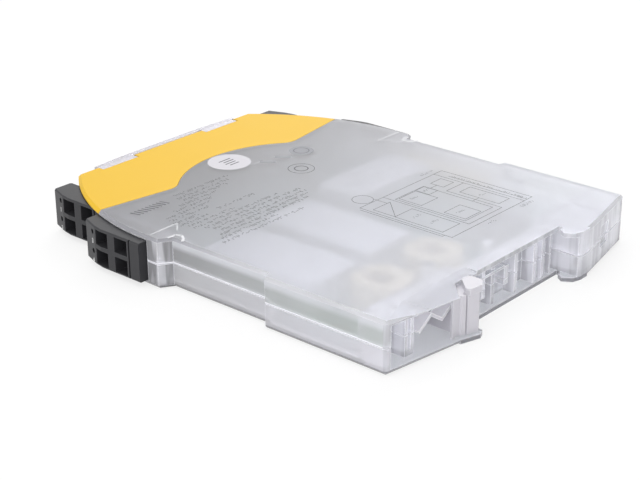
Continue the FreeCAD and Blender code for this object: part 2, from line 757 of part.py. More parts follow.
def clamp_springs():
    """Bent clamp strip of each pole, standing in the hollow behind its openings."""
    root = upper_outer_x - entry_depth
    rear = upper_block_y + tool_start + tool_len - 0.1 - strip_t
    mouth = upper_block_y + wire_start + wire_len
    line = [V(root + strip_reach, mouth - strip_slant - 0.7, 0), V(root + 0.95, mouth - 0.7, 0),
            V(root + 0.55, rear, 0), V(root + strip_reach, rear, 0)]
    springs = []
    for z in pole_heights():
        strip = strip_along(line, strip_t)
        springs.append(prism(strip, z - entry_h / 2.0 + strip_margin, z + entry_h / 2.0 - strip_margin))
    return springs


def strip_along(points, thickness):
    """Face of a bent strip that lies to the left of a line of points."""
    offset = []
    for i, here in enumerate(points):
        before = points[i] - points[i - 1] if i > 0 else points[1] - points[0]
        after = points[i + 1] - points[i] if i < len(points) - 1 else before
        before.normalize()
        after.normalize()
        left = V(-before.y - after.y, before.x + after.x, 0)
        left.normalize()
        spread = left.dot(V(-after.y, after.x, 0))
        offset.append(here + left * (thickness / spread))
    return Part.Face(Part.makePolygon(points + offset[::-1] + points[:1]))


def header_base():
    """Plastic bar of the pin header on the board, behind an upper bay's wall."""
    pin_x = upper_inner_x + pin_inset
    y0 = upper_bay_y + bay_wall + fit_gap
    base = box(pin_x - header_inner, pin_x + header_outer, y0, y0 + header_len,
               board_top, module_w - neck_z - neck_skin - 0.2)
    return base.cut([header_pin(z) for z in pole_heights()])


def header_pin(z):
    """Square pin through a bay's wall into the terminal block."""
    pin_x = upper_inner_x + pin_inset
    side = pin_size / 2.0
    y1 = upper_bay_y + bay_wall + fit_gap + header_len
    return box(pin_x - side, pin_x + side, upper_block_y + block_len - pin_reach, y1,
               z - side, z + side)


def to_lower(shape):
    """From an upper bay to the lower bay of the same end."""
    return shape.translated(V(lower_inner_x - upper_inner_x, lower_block_y - upper_block_y, 0))


def at_bays(shape):
    """A terminal piece at the four bays, by name."""
    return {"upper_near": shape, "lower_near": to_lower(shape),
            "upper_far": mirrored(shape), "lower_far": mirrored(to_lower(shape))}


def main_board():
    """Circuit board, stepped in at the neck and cut back in front of the rail pockets."""
    near = neck_x - side_wall - board_gap
    upper_wall = upper_bay_y + bay_wall + fit_gap
    lower_wall = lower_bay_y + bay_wall + fit_gap
    bay = bay_x - side_wall - board_gap
    wide = shoulder_x - side_wall - board_gap
    waist = waist_x - side_wall - board_gap
    hip = hip_x - side_wall - board_gap
    half = [(near - neck_cut_x, neck_front_y + board_gap, 0.5),
            (near, neck_front_y + neck_cut_y + board_gap, 0.5),
            (near, upper_wall, 0), (bay, upper_wall, 0),
            (bay, lower_wall, 0), (wide, lower_wall, 0),
            (wide, shoulder_end_y - 1.0, 0), (waist, waist_y - 1.0, 0),
            (waist, hip_y + side_wall + board_gap, 0), (hip, hip_y + side_wall + board_gap, 0),
            (hip, pocket_wall_y - board_gap, 1.0)]
    other = [(-x, y, r) for x, y, r in reversed(half)]
    board = prism(outline(half + other), board_z, board_top)
    return board.cut([post(x, y, peg_r + peg_play, 0, module_w) for x, y in post_places])


def sealed_relay(x, y, size_x, size_y):
    """Sealed relay: a moulded case with bevelled upper edges on a thin base."""
    low = board_top + relay_foot
    case = box(x - size_x / 2, x + size_x / 2, y - size_y / 2, y + size_y / 2,
               low, inner_top - relay_clear)
    upper = [e for e in case.Edges if e.BoundBox.ZMax > low + 0.1]
    case = case.makeChamfer(relay_bevel, upper)
    half_x = size_x / 2 - relay_foot_in
    half_y = size_y / 2 - relay_foot_in
    foot = box(x - half_x, x + half_x, y - half_y, y + half_y, board_top, low)
    return case.fuse(foot).removeSplitter()


def choke(x, y):
    """Square choke: moulded bobbin and the round ferrite core in its middle."""
    half = choke_w / 2.0
    cut = choke_cut
    top = inner_top - choke_clear
    bobbin = prism(outline([(x - half + cut, y - half, 0), (x + half - cut, y - half, 0),
                            (x + half, y - half + cut, 0), (x + half, y + half - cut, 0),
                            (x + half - cut, y + half, 0), (x - half + cut, y + half, 0),
                            (x - half, y + half - cut, 0), (x - half, y - half + cut, 0)]),
                   board_top, top)
    bore = post(x, y, core_r, board_top, top)
    core = post(x, y, core_r, board_top, top - core_sink)
    dimple = post(x, y, dimple_r, top - core_sink - dimple_d, top)
    return bobbin.cut(bore), core.cut(dimple)


def capacitor(x):
    """Electrolytic capacitor lying on the board: can with a crimped groove."""
    z = board_top + can_r
    can = Part.makeCylinder(can_r, can_len, V(x, can_y, z), V(0, 1, 0))
    start = V(x, can_y + can_groove_y, z)
    ring = Part.makeCylinder(can_r + 1, can_groove_w, start, V(0, 1, 0))
    waist = Part.makeCylinder(can_r - can_groove_d, can_groove_w, start, V(0, 1, 0))
    return can.cut(ring.cut(waist))


def chip(x, y):
    """Surface-mounted chip with a row of leads along both long sides."""
    body = box(x - chip_w / 2, x + chip_w / 2, y - chip_len / 2, y + chip_len / 2,
               board_top + chip_stand, board_top + chip_h)
    count = int((chip_len - 2 * lead_w) / lead_pitch) + 1
    reach = chip_w / 2 + lead_reach
    leads = []
    for i in range(count):
        lead_y = y + (i - (count - 1) / 2.0) * lead_pitch
        leads.append(box(x - reach, x + reach, lead_y - lead_w / 2, lead_y + lead_w / 2,
                         board_top, board_top + lead_h))
    return body.fuse(leads).removeSplitter()


def driver_block():
    """Row of optocouplers in one cream moulding beside the far wall."""
    x0 = driver_x
    y0 = driver_y - driver_len / 2
    body = box(x0, x0 + driver_w, y0, y0 + driver_len, board_top, board_top + driver_h)
    grooves = []
    for share in (0.25, 0.5, 0.75):
        y = y0 + driver_len * share
        grooves.append(box(x0 - 1, x0 + driver_w + 1, y - 0.4, y + 0.4,
                           board_top + driver_h - 0.8, board_top + driver_h + 1))
    return body.cut(grooves)


def rail_latch():
    """Sliding latch: body between the flat sides, hooked nose, guide bar and round head."""
    x0 = latch_x + latch_play
    x1 = latch_end_x
    y0 = pocket_y + run_gap
    z0 = skin + run_gap
    z1 = inner_top - run_gap
    nose = latch_x - hook_lip - nose_extra
    tip_y = nose_end_y + 0.8
    body = prism(outline([(x0, y0, 0.3), (x0, hook_root_y, 0.3), (nose, hook_root_y + 1.4, 0.6),
                          (nose + nose_slant, nose_end_y, 0.8), (x0 + 1.4, tip_y, 0.8),
                          (x1, latch_heel_y, 0.6), (x1, y0, 0.3)]), z0, z1)
    slot = box(x0 + 2.2, x1 - 1.6, y0 + 1.4, slot_floor_y - 0.4, z0 - 1, z1 + 1)
    bar = box(x1 - 0.2, x1 + bar_w, bar_y, bar_y + bar_t, z0, z1)
    groove = box(x1 - 1.6, x1 - 1.1, latch_heel_y - 0.7, rear_y, z0 - 1, z1 + 1)
    head = prism(outline([(nose + 0.3, head_y, 1.6), (head_x, head_y, 0.8),
                          (head_x + head_slant, nose_end_y - 0.6, 0.6),
                          (head_x + head_slant - 0.4, nose_end_y + 0.4, 0.6),
                          (x0 + 1.0, tip_y + 0.2, 1.0), (nose + 0.5, nose_end_y - 0.4, 1.0)]),
                 z1 - 0.1, module_w)
    return union(body, [bar, head]).cut([slot, groove]).removeSplitter()


def latch_spring():
    """Zigzag strip between the post and the latch body."""
    start = latch_end_x + 0.1
    stop = post_x - 0.1 - 0.7 * spring_t
    low = mid_z + spring_lift - spring_swing / 2.0
    points = [V(start, low + spring_swing, 0)]
    for i in range(spring_legs - 1):
        x = start + (stop - start) * (i + 1.0) / spring_legs
        points.append(V(x, low if i % 2 == 0 else low + spring_swing, 0))
    points.append(V(stop, low, 0))
    strip = strip_along(points, spring_t)
    strip.rotate(V(0, 0, 0), V(1, 0, 0), 90)
    spring = strip.extrude(V(0, -spring_w, 0))
    spring.translate(V(0, spring_end_y, 0))
    return spring


def board_pieces():
    """Everything that stands on the board."""
    pieces = {"relay_near": sealed_relay(near_relay_x, near_relay_y, relay_w, relay_len),
              "relay_middle": sealed_relay(middle_relay_x, middle_relay_y, relay_w, relay_len),
              "relay_far": sealed_relay(far_relay_x, far_relay_y, far_relay_len, far_relay_w)}
    for name, x, y in (("near", near_choke_x, near_choke_y), ("middle", middle_choke_x, middle_choke_y)):
        bobbin, core = choke(x, y)
        pieces["choke_bobbin_" + name] = bobbin
        pieces["choke_core_" + name] = core
    pieces["capacitor_near"] = capacitor(can_first_x)
    pieces["capacitor_far"] = capacitor(can_first_x - can_pitch)
    pieces["logic_chip_near"] = chip(chip_x, chip_y)
    pieces["logic_chip_far"] = chip(-chip_x, chip_y)
    pieces["driver_block"] = driver_block()
    lights = []
    half = light_body / 2.0
    for i in range(light_count):
        x = light_first_x + light_pitch * i
        lights.append(box(x - half, x + half, light_body_y, light_body_y + light_body,
                          board_top, board_top + light_body_h))
    pieces["status_lights"] = group(lights)
    return pieces


def light_guide():
    """Clear moulding that leads the status lights to the front wall."""
    windows = [light_window(i, 0, guide_proud, guide_gap) for i in range(light_count)]
    reach = light_side / 2.0 + guide_bar_over
    bar_y = hood_front_y + hood_wall + guide_gap
    bar = box(light_first_x - reach, light_last_x + reach, bar_y, bar_y + guide_bar_t,
              light_z - light_side / 2.0, light_z + light_side / 2.0)
    return union(bar, windows)


def build():
    block = outer_block()
    body = housing(block)
    nodes = {"housing_base": housing_base(body), "housing_cover": housing_cover(body),
             "front_hood": hood(block), "front_flap": front_flap(),
             "marking_plate": marking_plate(), "light_guide": light_guide(),
             "main_board": main_board(), "rail_latch": rail_latch(),
             "latch_spring": latch_spring()}
    nodes.update(board_pieces())
    for bay, shape in at_bays(terminal_block()).items():
        nodes["terminal_block_" + bay] = shape
    for bay, shape in at_bays(group(clamp_springs())).items():
        nodes["clamp_springs_" + bay] = shape
    for bay, shape in at_bays(header_base()).items():
        nodes["pin_header_" + bay] = shape
    for bay, shape in at_bays(group([header_pin(z) for z in pole_heights()])).items():
        nodes["header_pins_" + bay] = shape
    return nodes


os.makedirs("parts", exist_ok=True)
for name, shape in build().items():
    shape.exportStep("parts/" + name + ".step")
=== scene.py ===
"""Dresses a slim safety relay: frosted housing, yellow hood, terminal blocks and what shines through."""
import collections
import math
import random

import bmesh
import bpy
from mathutils import Matrix, Vector


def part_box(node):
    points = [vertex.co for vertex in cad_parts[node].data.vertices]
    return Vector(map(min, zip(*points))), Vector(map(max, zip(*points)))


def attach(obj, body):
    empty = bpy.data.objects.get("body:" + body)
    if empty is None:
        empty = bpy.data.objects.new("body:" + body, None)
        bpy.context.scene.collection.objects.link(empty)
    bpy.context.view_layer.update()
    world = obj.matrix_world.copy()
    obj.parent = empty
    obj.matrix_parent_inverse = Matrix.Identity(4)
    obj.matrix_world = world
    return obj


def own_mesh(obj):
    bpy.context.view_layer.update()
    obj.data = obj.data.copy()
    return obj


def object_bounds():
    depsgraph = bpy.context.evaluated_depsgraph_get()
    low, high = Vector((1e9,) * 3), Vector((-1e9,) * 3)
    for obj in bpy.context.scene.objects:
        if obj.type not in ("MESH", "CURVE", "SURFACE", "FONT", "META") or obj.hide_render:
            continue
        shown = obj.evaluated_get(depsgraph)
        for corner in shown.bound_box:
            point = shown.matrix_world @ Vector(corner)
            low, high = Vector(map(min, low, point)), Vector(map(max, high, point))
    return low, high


bl_info = {
    "name": "Safety Relay Dresser",
    "version": (1, 0, 0),
    "blender": (4, 5, 0),
    "location": "3D View > Sidebar > Safety Relay",
    "description": "Finishes, print, board parts and stage for a slim rail-mounted safety relay",
    "category": "Object",
}

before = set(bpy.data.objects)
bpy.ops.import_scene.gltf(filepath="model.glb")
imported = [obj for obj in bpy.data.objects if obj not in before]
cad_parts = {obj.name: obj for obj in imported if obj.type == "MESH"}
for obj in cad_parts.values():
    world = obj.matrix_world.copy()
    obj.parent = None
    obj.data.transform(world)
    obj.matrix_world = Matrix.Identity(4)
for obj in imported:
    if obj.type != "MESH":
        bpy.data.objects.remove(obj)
CAD_LOW, CAD_HIGH = [corner.copy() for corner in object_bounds()]
MM = 0.001
WHITE = (1.0, 1.0, 1.0, 1.0)
BAYS = ("upper_near", "lower_near", "upper_far", "lower_far")


def srgb(red, green, blue):
    """A screen colour from 0 to 255 as the linear colour that shaders use."""
    linear = []
    for value in (red, green, blue):
        level = value / 255.0
        linear.append(level / 12.92 if level <= 0.04045 else ((level + 0.055) / 1.055) ** 2.4)
    return tuple(linear)


# ---------------- settings


def colour(name, words, value):
    return bpy.props.FloatVectorProperty(name=name, description=words, subtype="COLOR", size=3,
                                         min=0.0, max=1.0, default=value)


def length(name, words, value):
    return bpy.props.FloatProperty(name=name, description=words, subtype="DISTANCE", unit="LENGTH",
                                   min=0.0, precision=5, default=value * MM)


def share(name, words, value):
    return bpy.props.FloatProperty(name=name, description=words, subtype="FACTOR", min=0.0, max=1.0,
                                   default=value)


def power(name, words, value):
    return bpy.props.FloatProperty(name=name, description=words, subtype="POWER", min=0.0, default=value)


class HousingSettings(bpy.types.PropertyGroup):
    top_rear: colour("Flat Side, Rear", "Tone of the flat sides towards the rail", srgb(236, 237, 246))
    top_front: colour("Flat Side, Front", "Tone of the flat sides beside the hood", srgb(166, 166, 172))
    # The cover's walls: their own clear tone, darkened to grey-green by painted shade from inside, under the
    # top.
    upper_wall_with_shade: colour("Upper Walls", "Tone of the cover's clear side walls", srgb(198, 203, 201))
    wall_lower: colour("Lower Walls", "Tone of the base's clear side walls", srgb(230, 229, 235))
    wall_rear: colour("Rear Walls", "Tone of the clear walls on the rail side", srgb(244, 244, 250))
    edge: colour("Lit Edge", "Tone of the edges that catch the light", srgb(250, 250, 255))
    shaded_edge: colour("Shaded Edge", "Tone of the lowest edge", srgb(96, 96, 100))
    top_frost: share("Flat Side Frost", "How rough the flat sides are", 0.32)
    wall_frost: share("Wall Frost", "How rough the side walls are", 0.10)
    top_clearness: share("Flat Side Clearness", "How much light the flat sides let through", 0.70)
    wall_clearness: share("Wall Clearness", "How much light the side walls let through", 0.56)
    edge_width: length("Edge Width", "Width of the lit band along each edge", 0.28)
    edge_glow: share("Edge Glow", "How much light the clear edges give back", 0.30)


class FrontSettings(bpy.types.PropertyGroup):
    hood: colour("Hood Colour", "Yellow of the front hood", srgb(228, 184, 42))
    flap_tint: colour("Flap Tint", "Colour of the clear flap", srgb(240, 238, 246))
    plate: colour("Marking Plate", "Colour of the blank marking plate", srgb(238, 238, 236))


class TerminalSettings(bpy.types.PropertyGroup):
    moulding: colour("Terminal Moulding", "Dark grey of the terminal blocks", srgb(50, 50, 53))
    digits: colour("Terminal Numbers", "Colour of the printed terminal numbers", srgb(226, 226, 226))
    digit_height: length("Number Height", "Height of the terminal numbers", 1.7)


class BoardSettings(bpy.types.PropertyGroup):
    lacquer: colour("Board Lacquer", "Colour of the board's solder mask", srgb(92, 128, 132))
    relay_case: colour("Relay Case", "Colour of the sealed relays", srgb(226, 227, 235))
    bobbin: colour("Choke Bobbin", "Colour of the chokes' mouldings", srgb(216, 202, 172))
    header: colour("Header Moulding", "Colour of the pin headers", srgb(226, 224, 222))
    small_parts: bpy.props.IntProperty(name="Small Parts", description="Number of small parts on the board",
                                       min=0, max=400, default=110)


class PrintSettings(bpy.types.PropertyGroup):
    ink: colour("Print Ink", "Colour of the side print", srgb(90, 90, 96))
    soft_ink: colour("Soft Print", "Colour of the pale printed fields", srgb(146, 147, 153))
    label: colour("Round Label", "Colour of the round label", srgb(198, 196, 202))
    line_width: length("Line Width", "Width of the printed lines", 0.12)
    film: length("Print Film", "Thickness of the print", 0.02)


class LatchSettings(bpy.types.PropertyGroup):
    moulding: colour("Latch Moulding", "Natural white of the rail latch and its spring", srgb(204, 202, 209))
    travel: length("Latch Travel", "How far the latch moves back against its spring", 1.8)


class StageSettings(bpy.types.PropertyGroup):
    floor: colour("Floor", "Colour of the floor", (0.93, 0.93, 0.93))
    lens: bpy.props.FloatProperty(name="Lens", description="Focal length of the camera in millimetres",
                                  min=10.0, default=86.7)
    key: power("Key Light", "Power of the large top light", 3.0)
    fill: power("Fill Light", "Power of the light near the camera, and of the one behind the relay", 1.7)
    sky: bpy.props.FloatProperty(name="Sky", description="Strength of the even light all round", min=0.0,
                                 default=0.55)


SETTINGS = {
    "relay_housing": HousingSettings,
    "relay_front": FrontSettings,
    "relay_terminals": TerminalSettings,
    "relay_board": BoardSettings,
    "relay_print": PrintSettings,
    "relay_latch": LatchSettings,
    "relay_stage": StageSettings,
}


# ---------------- shader groups


NODES_A_ROW = 6
NODE_PITCH = (240, -320)


def feed(tree, value, socket):
    """Joins another node's output to a socket, or sets the socket to a plain value."""
    if isinstance(value, bpy.types.NodeSocket):
        tree.links.new(value, socket)
    elif value is not None:
        socket.default_value = value


def put(tree, kind, feeds=None, **settings):
    """A new node of a shader tree, set beside or below the ones before it, and what feeds its inputs."""
    column, row = len(tree.nodes) % NODES_A_ROW, len(tree.nodes) // NODES_A_ROW
    node = tree.nodes.new(kind)
    node.location = (column * NODE_PITCH[0], row * NODE_PITCH[1])
    for key, value in settings.items():
        setattr(node, key, value)
    for key, value in (feeds or {}).items():
        feed(tree, value, node.inputs[key])
    return node


def maths(tree, operation, first, second=None, clamp=False):
    """One sum, whose terms are numbers or other nodes' outputs."""
    feeds = {0: first, 1: second}
    return put(tree, "ShaderNodeMath", feeds, operation=operation, use_clamp=clamp).outputs[0]


def mix_tones(tree, mask, black, white):
    """The colour black where the mask is black, and the colour white where it is white."""
    feeds = {"Factor": mask, "A": black, "B": white}
    return put(tree, "ShaderNodeMix", feeds, data_type="RGBA").outputs["Result"]


def noise(tree, place, scale, detail):
    """The grey value of a soft noise over the surface."""
    feeds = {"Vector": place, "Scale": scale, "Detail": detail}
    return put(tree, "ShaderNodeTexNoise", feeds).outputs["Fac"]


def surface_place(tree):
    """The place on the piece, in metres."""
    return put(tree, "ShaderNodeTexCoord").outputs["Object"]


def surface_axis(tree, axis):
    """One coordinate of the place on the piece."""
    return put(tree, "ShaderNodeSeparateXYZ", {"Vector": surface_place(tree)}).outputs[axis]


def shader_group(name, inputs, outputs):
    """Turns a function that fills a group into one that gives the group, built at its first use."""
    def kind(label):
        return "NodeSocketColor" if "Colour" in label else "NodeSocketFloat"

    def wrap(fill):
        def group():
            if name not in bpy.data.node_groups:
                made = bpy.data.node_groups.new(name, "ShaderNodeTree")
                for label, value in inputs.items():
                    entry = made.interface.new_socket(name=label, in_out="INPUT", socket_type=kind(label))
                    entry.default_value = value
                for label in outputs:
                    made.interface.new_socket(name=label, in_out="OUTPUT", socket_type=kind(label))
                start = put(made, "NodeGroupInput")
                end = put(made, "NodeGroupOutput")
                fill(made, start.outputs, end.inputs)
            return bpy.data.node_groups[name]
        return group
    return wrap


@shader_group("Moulded Grain", {"Grain Size": 2600.0, "Gloss Change": 0.06, "Roughness": 0.4},
              ("Height", "Roughness"))
def grain_group(group, given, result):
    """Fine spark-eroded grain of a moulded surface, and its slow change of gloss."""
    place = surface_place(group)
    feed(group, noise(group, place, given["Grain Size"], 3.0), result["Height"])
    slow = noise(group, place, 55.0, 4.0)
    centred = maths(group, "SUBTRACT", slow, 0.5)
    change = maths(group, "MULTIPLY", centred, given["Gloss Change"])
    feed(group, maths(group, "ADD", given["Roughness"], change, clamp=True), result["Roughness"])


@shader_group("Edge Band", {"Width": 0.0003, "Strength": 4.0}, ("Mask",))
def edge_group(group, given, result):
    """White where a surface turns over an edge, black on its flat parts."""
    rounded = put(group, "ShaderNodeBevel", {"Radius": given["Width"]}, samples=4)
    plain = put(group, "ShaderNodeNewGeometry")
    facing = put(group, "ShaderNodeVectorMath", {0: rounded.outputs["Normal"], 1: plain.outputs["Normal"]},
                 operation="DOT_PRODUCT")
    turned = maths(group, "SUBTRACT", 1.0, facing.outputs["Value"])
    feed(group, maths(group, "MULTIPLY", turned, given["Strength"], clamp=True), result["Mask"])


@shader_group("Soft Patches", {"Colour": (0.8, 0.8, 0.8, 1.0), "Second Colour": (0.7, 0.7, 0.7, 1.0),
                               "Patch Scale": 90.0, "Amount": 0.5}, ("Colour",))
def cloud_group(group, given, result):
    """Soft uneven patches that shift a colour a little between two tones."""
    cloud = noise(group, surface_place(group), given["Patch Scale"], 5.0)
    amount = maths(group, "MULTIPLY", cloud, given["Amount"], clamp=True)
    feed(group, mix_tones(group, amount, given["Colour"], given["Second Colour"]), result["Colour"])


@shader_group("Fade Along Length", {"Front Colour": (0.5, 0.5, 0.5, 1.0),
                                    "Rear Colour": (0.9, 0.9, 0.9, 1.0),
                                    "Start": -0.03, "Length": 0.05}, ("Colour",))
def fade_group(group, given, result):
    """Fades one colour into another along the relay's length."""
    past = maths(group, "SUBTRACT", surface_axis(group, "Y"), given["Start"])
    amount = maths(group, "DIVIDE", past, given["Length"], clamp=True)
    feed(group, mix_tones(group, amount, given["Front Colour"], given["Rear Colour"]), result["Colour"])


@shader_group("Band At Height", {"Height": 0.006, "Half Width": 0.0002, "Softness": 0.0002}, ("Mask",))
def height_group(group, given, result):
    """White near one height of the part, fading to black above and below it."""
    offset = maths(group, "SUBTRACT", surface_axis(group, "Z"), given["Height"])
    away = maths(group, "ABSOLUTE", offset)
    past = maths(group, "SUBTRACT", away, given["Half Width"])
    ratio = maths(group, "DIVIDE", past, given["Softness"], clamp=True)
    feed(group, maths(group, "SUBTRACT", 1.0, ratio, clamp=True), result["Mask"])


@shader_group("Upright Streaks", {"Scale": 420.0, "Contrast": 5.0}, ("Mask",))
def streak_group(group, given, result):
    """Upright light and dark streaks, as inner forms show through a clear wall."""
    stretched = put(group, "ShaderNodeVectorMath", {0: surface_place(group), 1: (1.0, 1.0, 0.12)},
                    operation="MULTIPLY")
    tall = noise(group, stretched.outputs["Vector"], given["Scale"], 2.0)
    centred = maths(group, "SUBTRACT", tall, 0.42)
    feed(group, maths(group, "MULTIPLY", centred, given["Contrast"], clamp=True), result["Mask"])


def use_group(tree, group, **values):
    """Places a shared group in a material with its own values, and gives its outputs."""
    feeds = {key.replace("_", " "): value for key, value in values.items()}
    return put(tree, "ShaderNodeGroup", feeds, node_tree=group()).outputs


# ---------------- materials


# Width of the painted highlight along the edges of moulded parts.
EDGE_HIGHLIGHT_WIDTH = 0.25 * MM
GRAIN_DEPTH = 0.1 * MM
METAL_DEPTH = 0.05 * MM
TRACK_DEPTH = 0.03 * MM
CLEAR_GRAIN = 1900.0
CLEAR_IOR = 1.36

# A band of another tone round a wall, here painted light or shade: its height, half width and softness are
# in metres. A lit band also takes the material's painted glow.
Band = collections.namedtuple("Band", "height half_width softness tone is_lit")


def rgba(value):
    return (value[0], value[1], value[2], 1.0)


def shade(value, factor):
    return tuple(min(1.0, part * factor) for part in value[:3])


def new_material(name, plain_values):
    """A material with one Principled shader and its plain values: the material, its tree and the shader."""
    material = bpy.data.materials.new(name)
    material.use_nodes = True
    tree = material.node_tree
    tree.nodes.clear()
    shader = put(tree, "ShaderNodeBsdfPrincipled", plain_values)
    put(tree, "ShaderNodeOutputMaterial", {"Surface": shader.outputs["BSDF"]})
    return material, tree, shader


def patchy_tone(tree, tint, second, scale, amount):
    """A colour with soft patches of a second one. The first may be another node's output."""
    return use_group(tree, cloud_group, Colour=tint, Second_Colour=rgba(second),
                     Patch_Scale=scale, Amount=amount)["Colour"]


def surface(tree, shader, tone, fine, height, strength, depth):
    """Gives the shader its tone, the grain's gloss and a raised height."""
    raised = put(tree, "ShaderNodeBump", {"Strength": strength, "Distance": depth, "Height": height})
    feed(tree, tone, shader.inputs["Base Color"])
    feed(tree, fine["Roughness"], shader.inputs["Roughness"])
    feed(tree, raised.outputs["Normal"], shader.inputs["Normal"])


def moulded(name, tint, second=None, roughness=0.42, grain=2600.0, bump=0.05, amount=0.6, patch=90.0,
            edge_tint=None, edge_strength=1.5, gloss=0.5):
    """Opaque moulded plastic with fine grain, soft patches and a painted highlight along its edges."""
    material, tree, shader = new_material(name, {"Specular IOR Level": gloss})
    tone = patchy_tone(tree, rgba(tint), second or shade(tint, 0.93), patch, amount)
    # Painted highlight: the edges are lightened towards edge_tint, as if they caught the light.
    if edge_tint is not None:
        edge_highlight = use_group(tree, edge_group, Width=EDGE_HIGHLIGHT_WIDTH, Strength=edge_strength)
        tone = mix_tones(tree, edge_highlight["Mask"], tone, rgba(edge_tint))
    fine = use_group(tree, grain_group, Grain_Size=grain, Roughness=roughness)
    surface(tree, shader, tone, fine, fine["Height"], bump, GRAIN_DEPTH)
    return material


def clear_plastic(name, tint, edge_tint, frost, clearness, edge_width, edge_strength=2.2, fade=None,
                  bands=(), glow=0.0, streaks=None):
    """Frosted or clear plastic that lets inner pieces show, with painted highlights along its edges and,
    where glow is set, a painted glow on them.

    fade holds the tone at the front, where the tone starts to change, and over what length it does.
    streaks holds the dark tone of upright streaks and their contrast.
    """
    plain_values = {"Transmission Weight": clearness, "IOR": CLEAR_IOR, "Emission Strength": glow}
    material, tree, shader = new_material(name, plain_values)
    if fade is None:
        tone = patchy_tone(tree, rgba(tint), shade(tint, 0.95), 45.0, 0.5)
    else:
        front_tint, start, run = fade
        tone = use_group(tree, fade_group, Front_Colour=rgba(front_tint), Rear_Colour=rgba(tint),
                         Start=start, Length=run)["Colour"]
    if streaks is not None:
        dark, contrast = streaks
        upright = use_group(tree, streak_group, Contrast=contrast)
        tone = mix_tones(tree, upright["Mask"], rgba(dark), tone)
    edges = use_group(tree, edge_group, Width=edge_width, Strength=edge_strength)["Mask"]
    lit = edges
    # Bands of painted light or shade at set heights; the lit ones also take the painted glow.
    for band in bands:
        near = use_group(tree, height_group, Height=band.height, Half_Width=band.half_width,
                         Softness=band.softness)["Mask"]
        tone = mix_tones(tree, near, tone, rgba(band.tone))
        if band.is_lit:
            lit = maths(tree, "MAXIMUM", lit, near)
    # Painted highlight: the edges are lightened towards edge_tint.
    tone = mix_tones(tree, edges, tone, rgba(edge_tint))
    # Painted glow: emission on the edges and lit bands, though the plastic is no lamp.
    if glow > 0.0:
        light = mix_tones(tree, lit, rgba(shade(edge_tint, 0.22)), rgba(edge_tint))
        feed(tree, light, shader.inputs["Emission Color"])
    fine = use_group(tree, grain_group, Grain_Size=CLEAR_GRAIN, Roughness=frost, Gloss_Change=0.04)
    surface(tree, shader, tone, fine, fine["Height"], 0.05, GRAIN_DEPTH)
    return material


def metal(name, tint, roughness, grain=3000.0):
    """Plated or rolled metal with fine grain and uneven gloss."""
    material, tree, shader = new_material(name, {"Metallic": 1.0})
    tone = patchy_tone(tree, rgba(tint), shade(tint, 0.8), 240.0, 0.5)
    fine = use_group(tree, grain_group, Grain_Size=grain, Roughness=roughness, Gloss_Change=0.15)
    surface(tree, shader, tone, fine, fine["Height"], 0.06, METAL_DEPTH)
    return material


def lacquered_board(name, tint):
    """Solder mask over copper: tracks show as a slightly lighter grid under the lacquer."""
    material, tree, shader = new_material(name, {})
    tracks = put(tree, "ShaderNodeTexBrick", {
        "Vector": surface_place(tree), "Scale": 120.0, "Mortar Size": 0.035, "Color1": rgba(tint),
        "Color2": rgba(shade(tint, 0.86)), "Mortar": rgba(shade(tint, 1.35))})
    tone = patchy_tone(tree, tracks.outputs["Color"], shade(tint, 0.8), 160.0, 0.4)
    fine = use_group(tree, grain_group, Grain_Size=1600.0, Roughness=0.3)
    surface(tree, shader, tone, fine, tracks.outputs["Fac"], 0.15, TRACK_DEPTH)
    return material


# ---------------- mesh helpers


def finish_with(obj, *materials):
    obj.data.materials.clear()
    for material in materials:
        obj.data.materials.append(material)


def node_object(name):
    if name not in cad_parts:
        raise RuntimeError("the frame has no node " + name)
    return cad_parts[name]


def dress(name, material):
    """Gives a node of the frame its finish."""
    finish_with(node_object(name), material)


def box_mm(node):
    """A node's lowest and highest corners in millimetres."""
    low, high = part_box(node)
    return [value / MM for value in low], [value / MM for value in high]


def new_object(name, data):
    """A new object of the scene."""
    made = bpy.data.objects.new(name, data)
    bpy.context.scene.collection.objects.link(made)
    return made


def mesh_object(name, bm):
    """A new object made from a bmesh."""
    mesh = bpy.data.meshes.new(name)
    bm.to_mesh(mesh)
    bm.free()
    return new_object(name, mesh)


def new_piece(name, bm, body, slot_name, *materials):
    """Turns a bmesh into a piece of the object that rides on a body."""
    bmesh.ops.recalc_face_normals(bm, faces=bm.faces)
    piece = mesh_object(name, bm)
    finish_with(piece, *materials)
    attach(piece, body)


def add_block(bm, low, high, bevel, slot_index=0):
    """A box between two corners in millimetres, with its edges broken."""
    made = bmesh.ops.create_cube(bm, size=1.0)["verts"]
    middle = Vector([(a + b) / 2.0 * MM for a, b in zip(low, high)])
    size = Vector([(b - a) * MM for a, b in zip(low, high)])
    bmesh.ops.transform(bm, verts=made, matrix=Matrix.Translation(middle) @ Matrix.Diagonal((*size, 1.0)))
    edges = {edge for vert in made for edge in vert.link_edges}
    faces = {face for vert in made for face in vert.link_faces}
    result = bmesh.ops.bevel(bm, geom=list(edges), offset=bevel * MM, segments=2, affect="EDGES",
                             profile=0.6)
    for face in {face for face in faces if face.is_valid} | set(result["faces"]):
        face.material_index = slot_index


def add_loop(bm, outline, z):
    """The corners of a closed outline at a height, in millimetres."""
    return [bm.verts.new((x * MM, y * MM, z * MM)) for x, y in outline]


def join_loops(bm, first, second):
    """Faces between two loops of as many corners."""
    for i in range(len(first)):
        bm.faces.new((first[i - 1], first[i], second[i], second[i - 1]))


def add_plate(bm, outline, layer):
    """A thin prism over a closed outline in millimetres. A layer is its lowest and highest z."""
    lower, upper = [add_loop(bm, outline, z) for z in layer]
    bm.faces.new(list(reversed(lower)))
    bm.faces.new(upper)
    join_loops(bm, lower, upper)


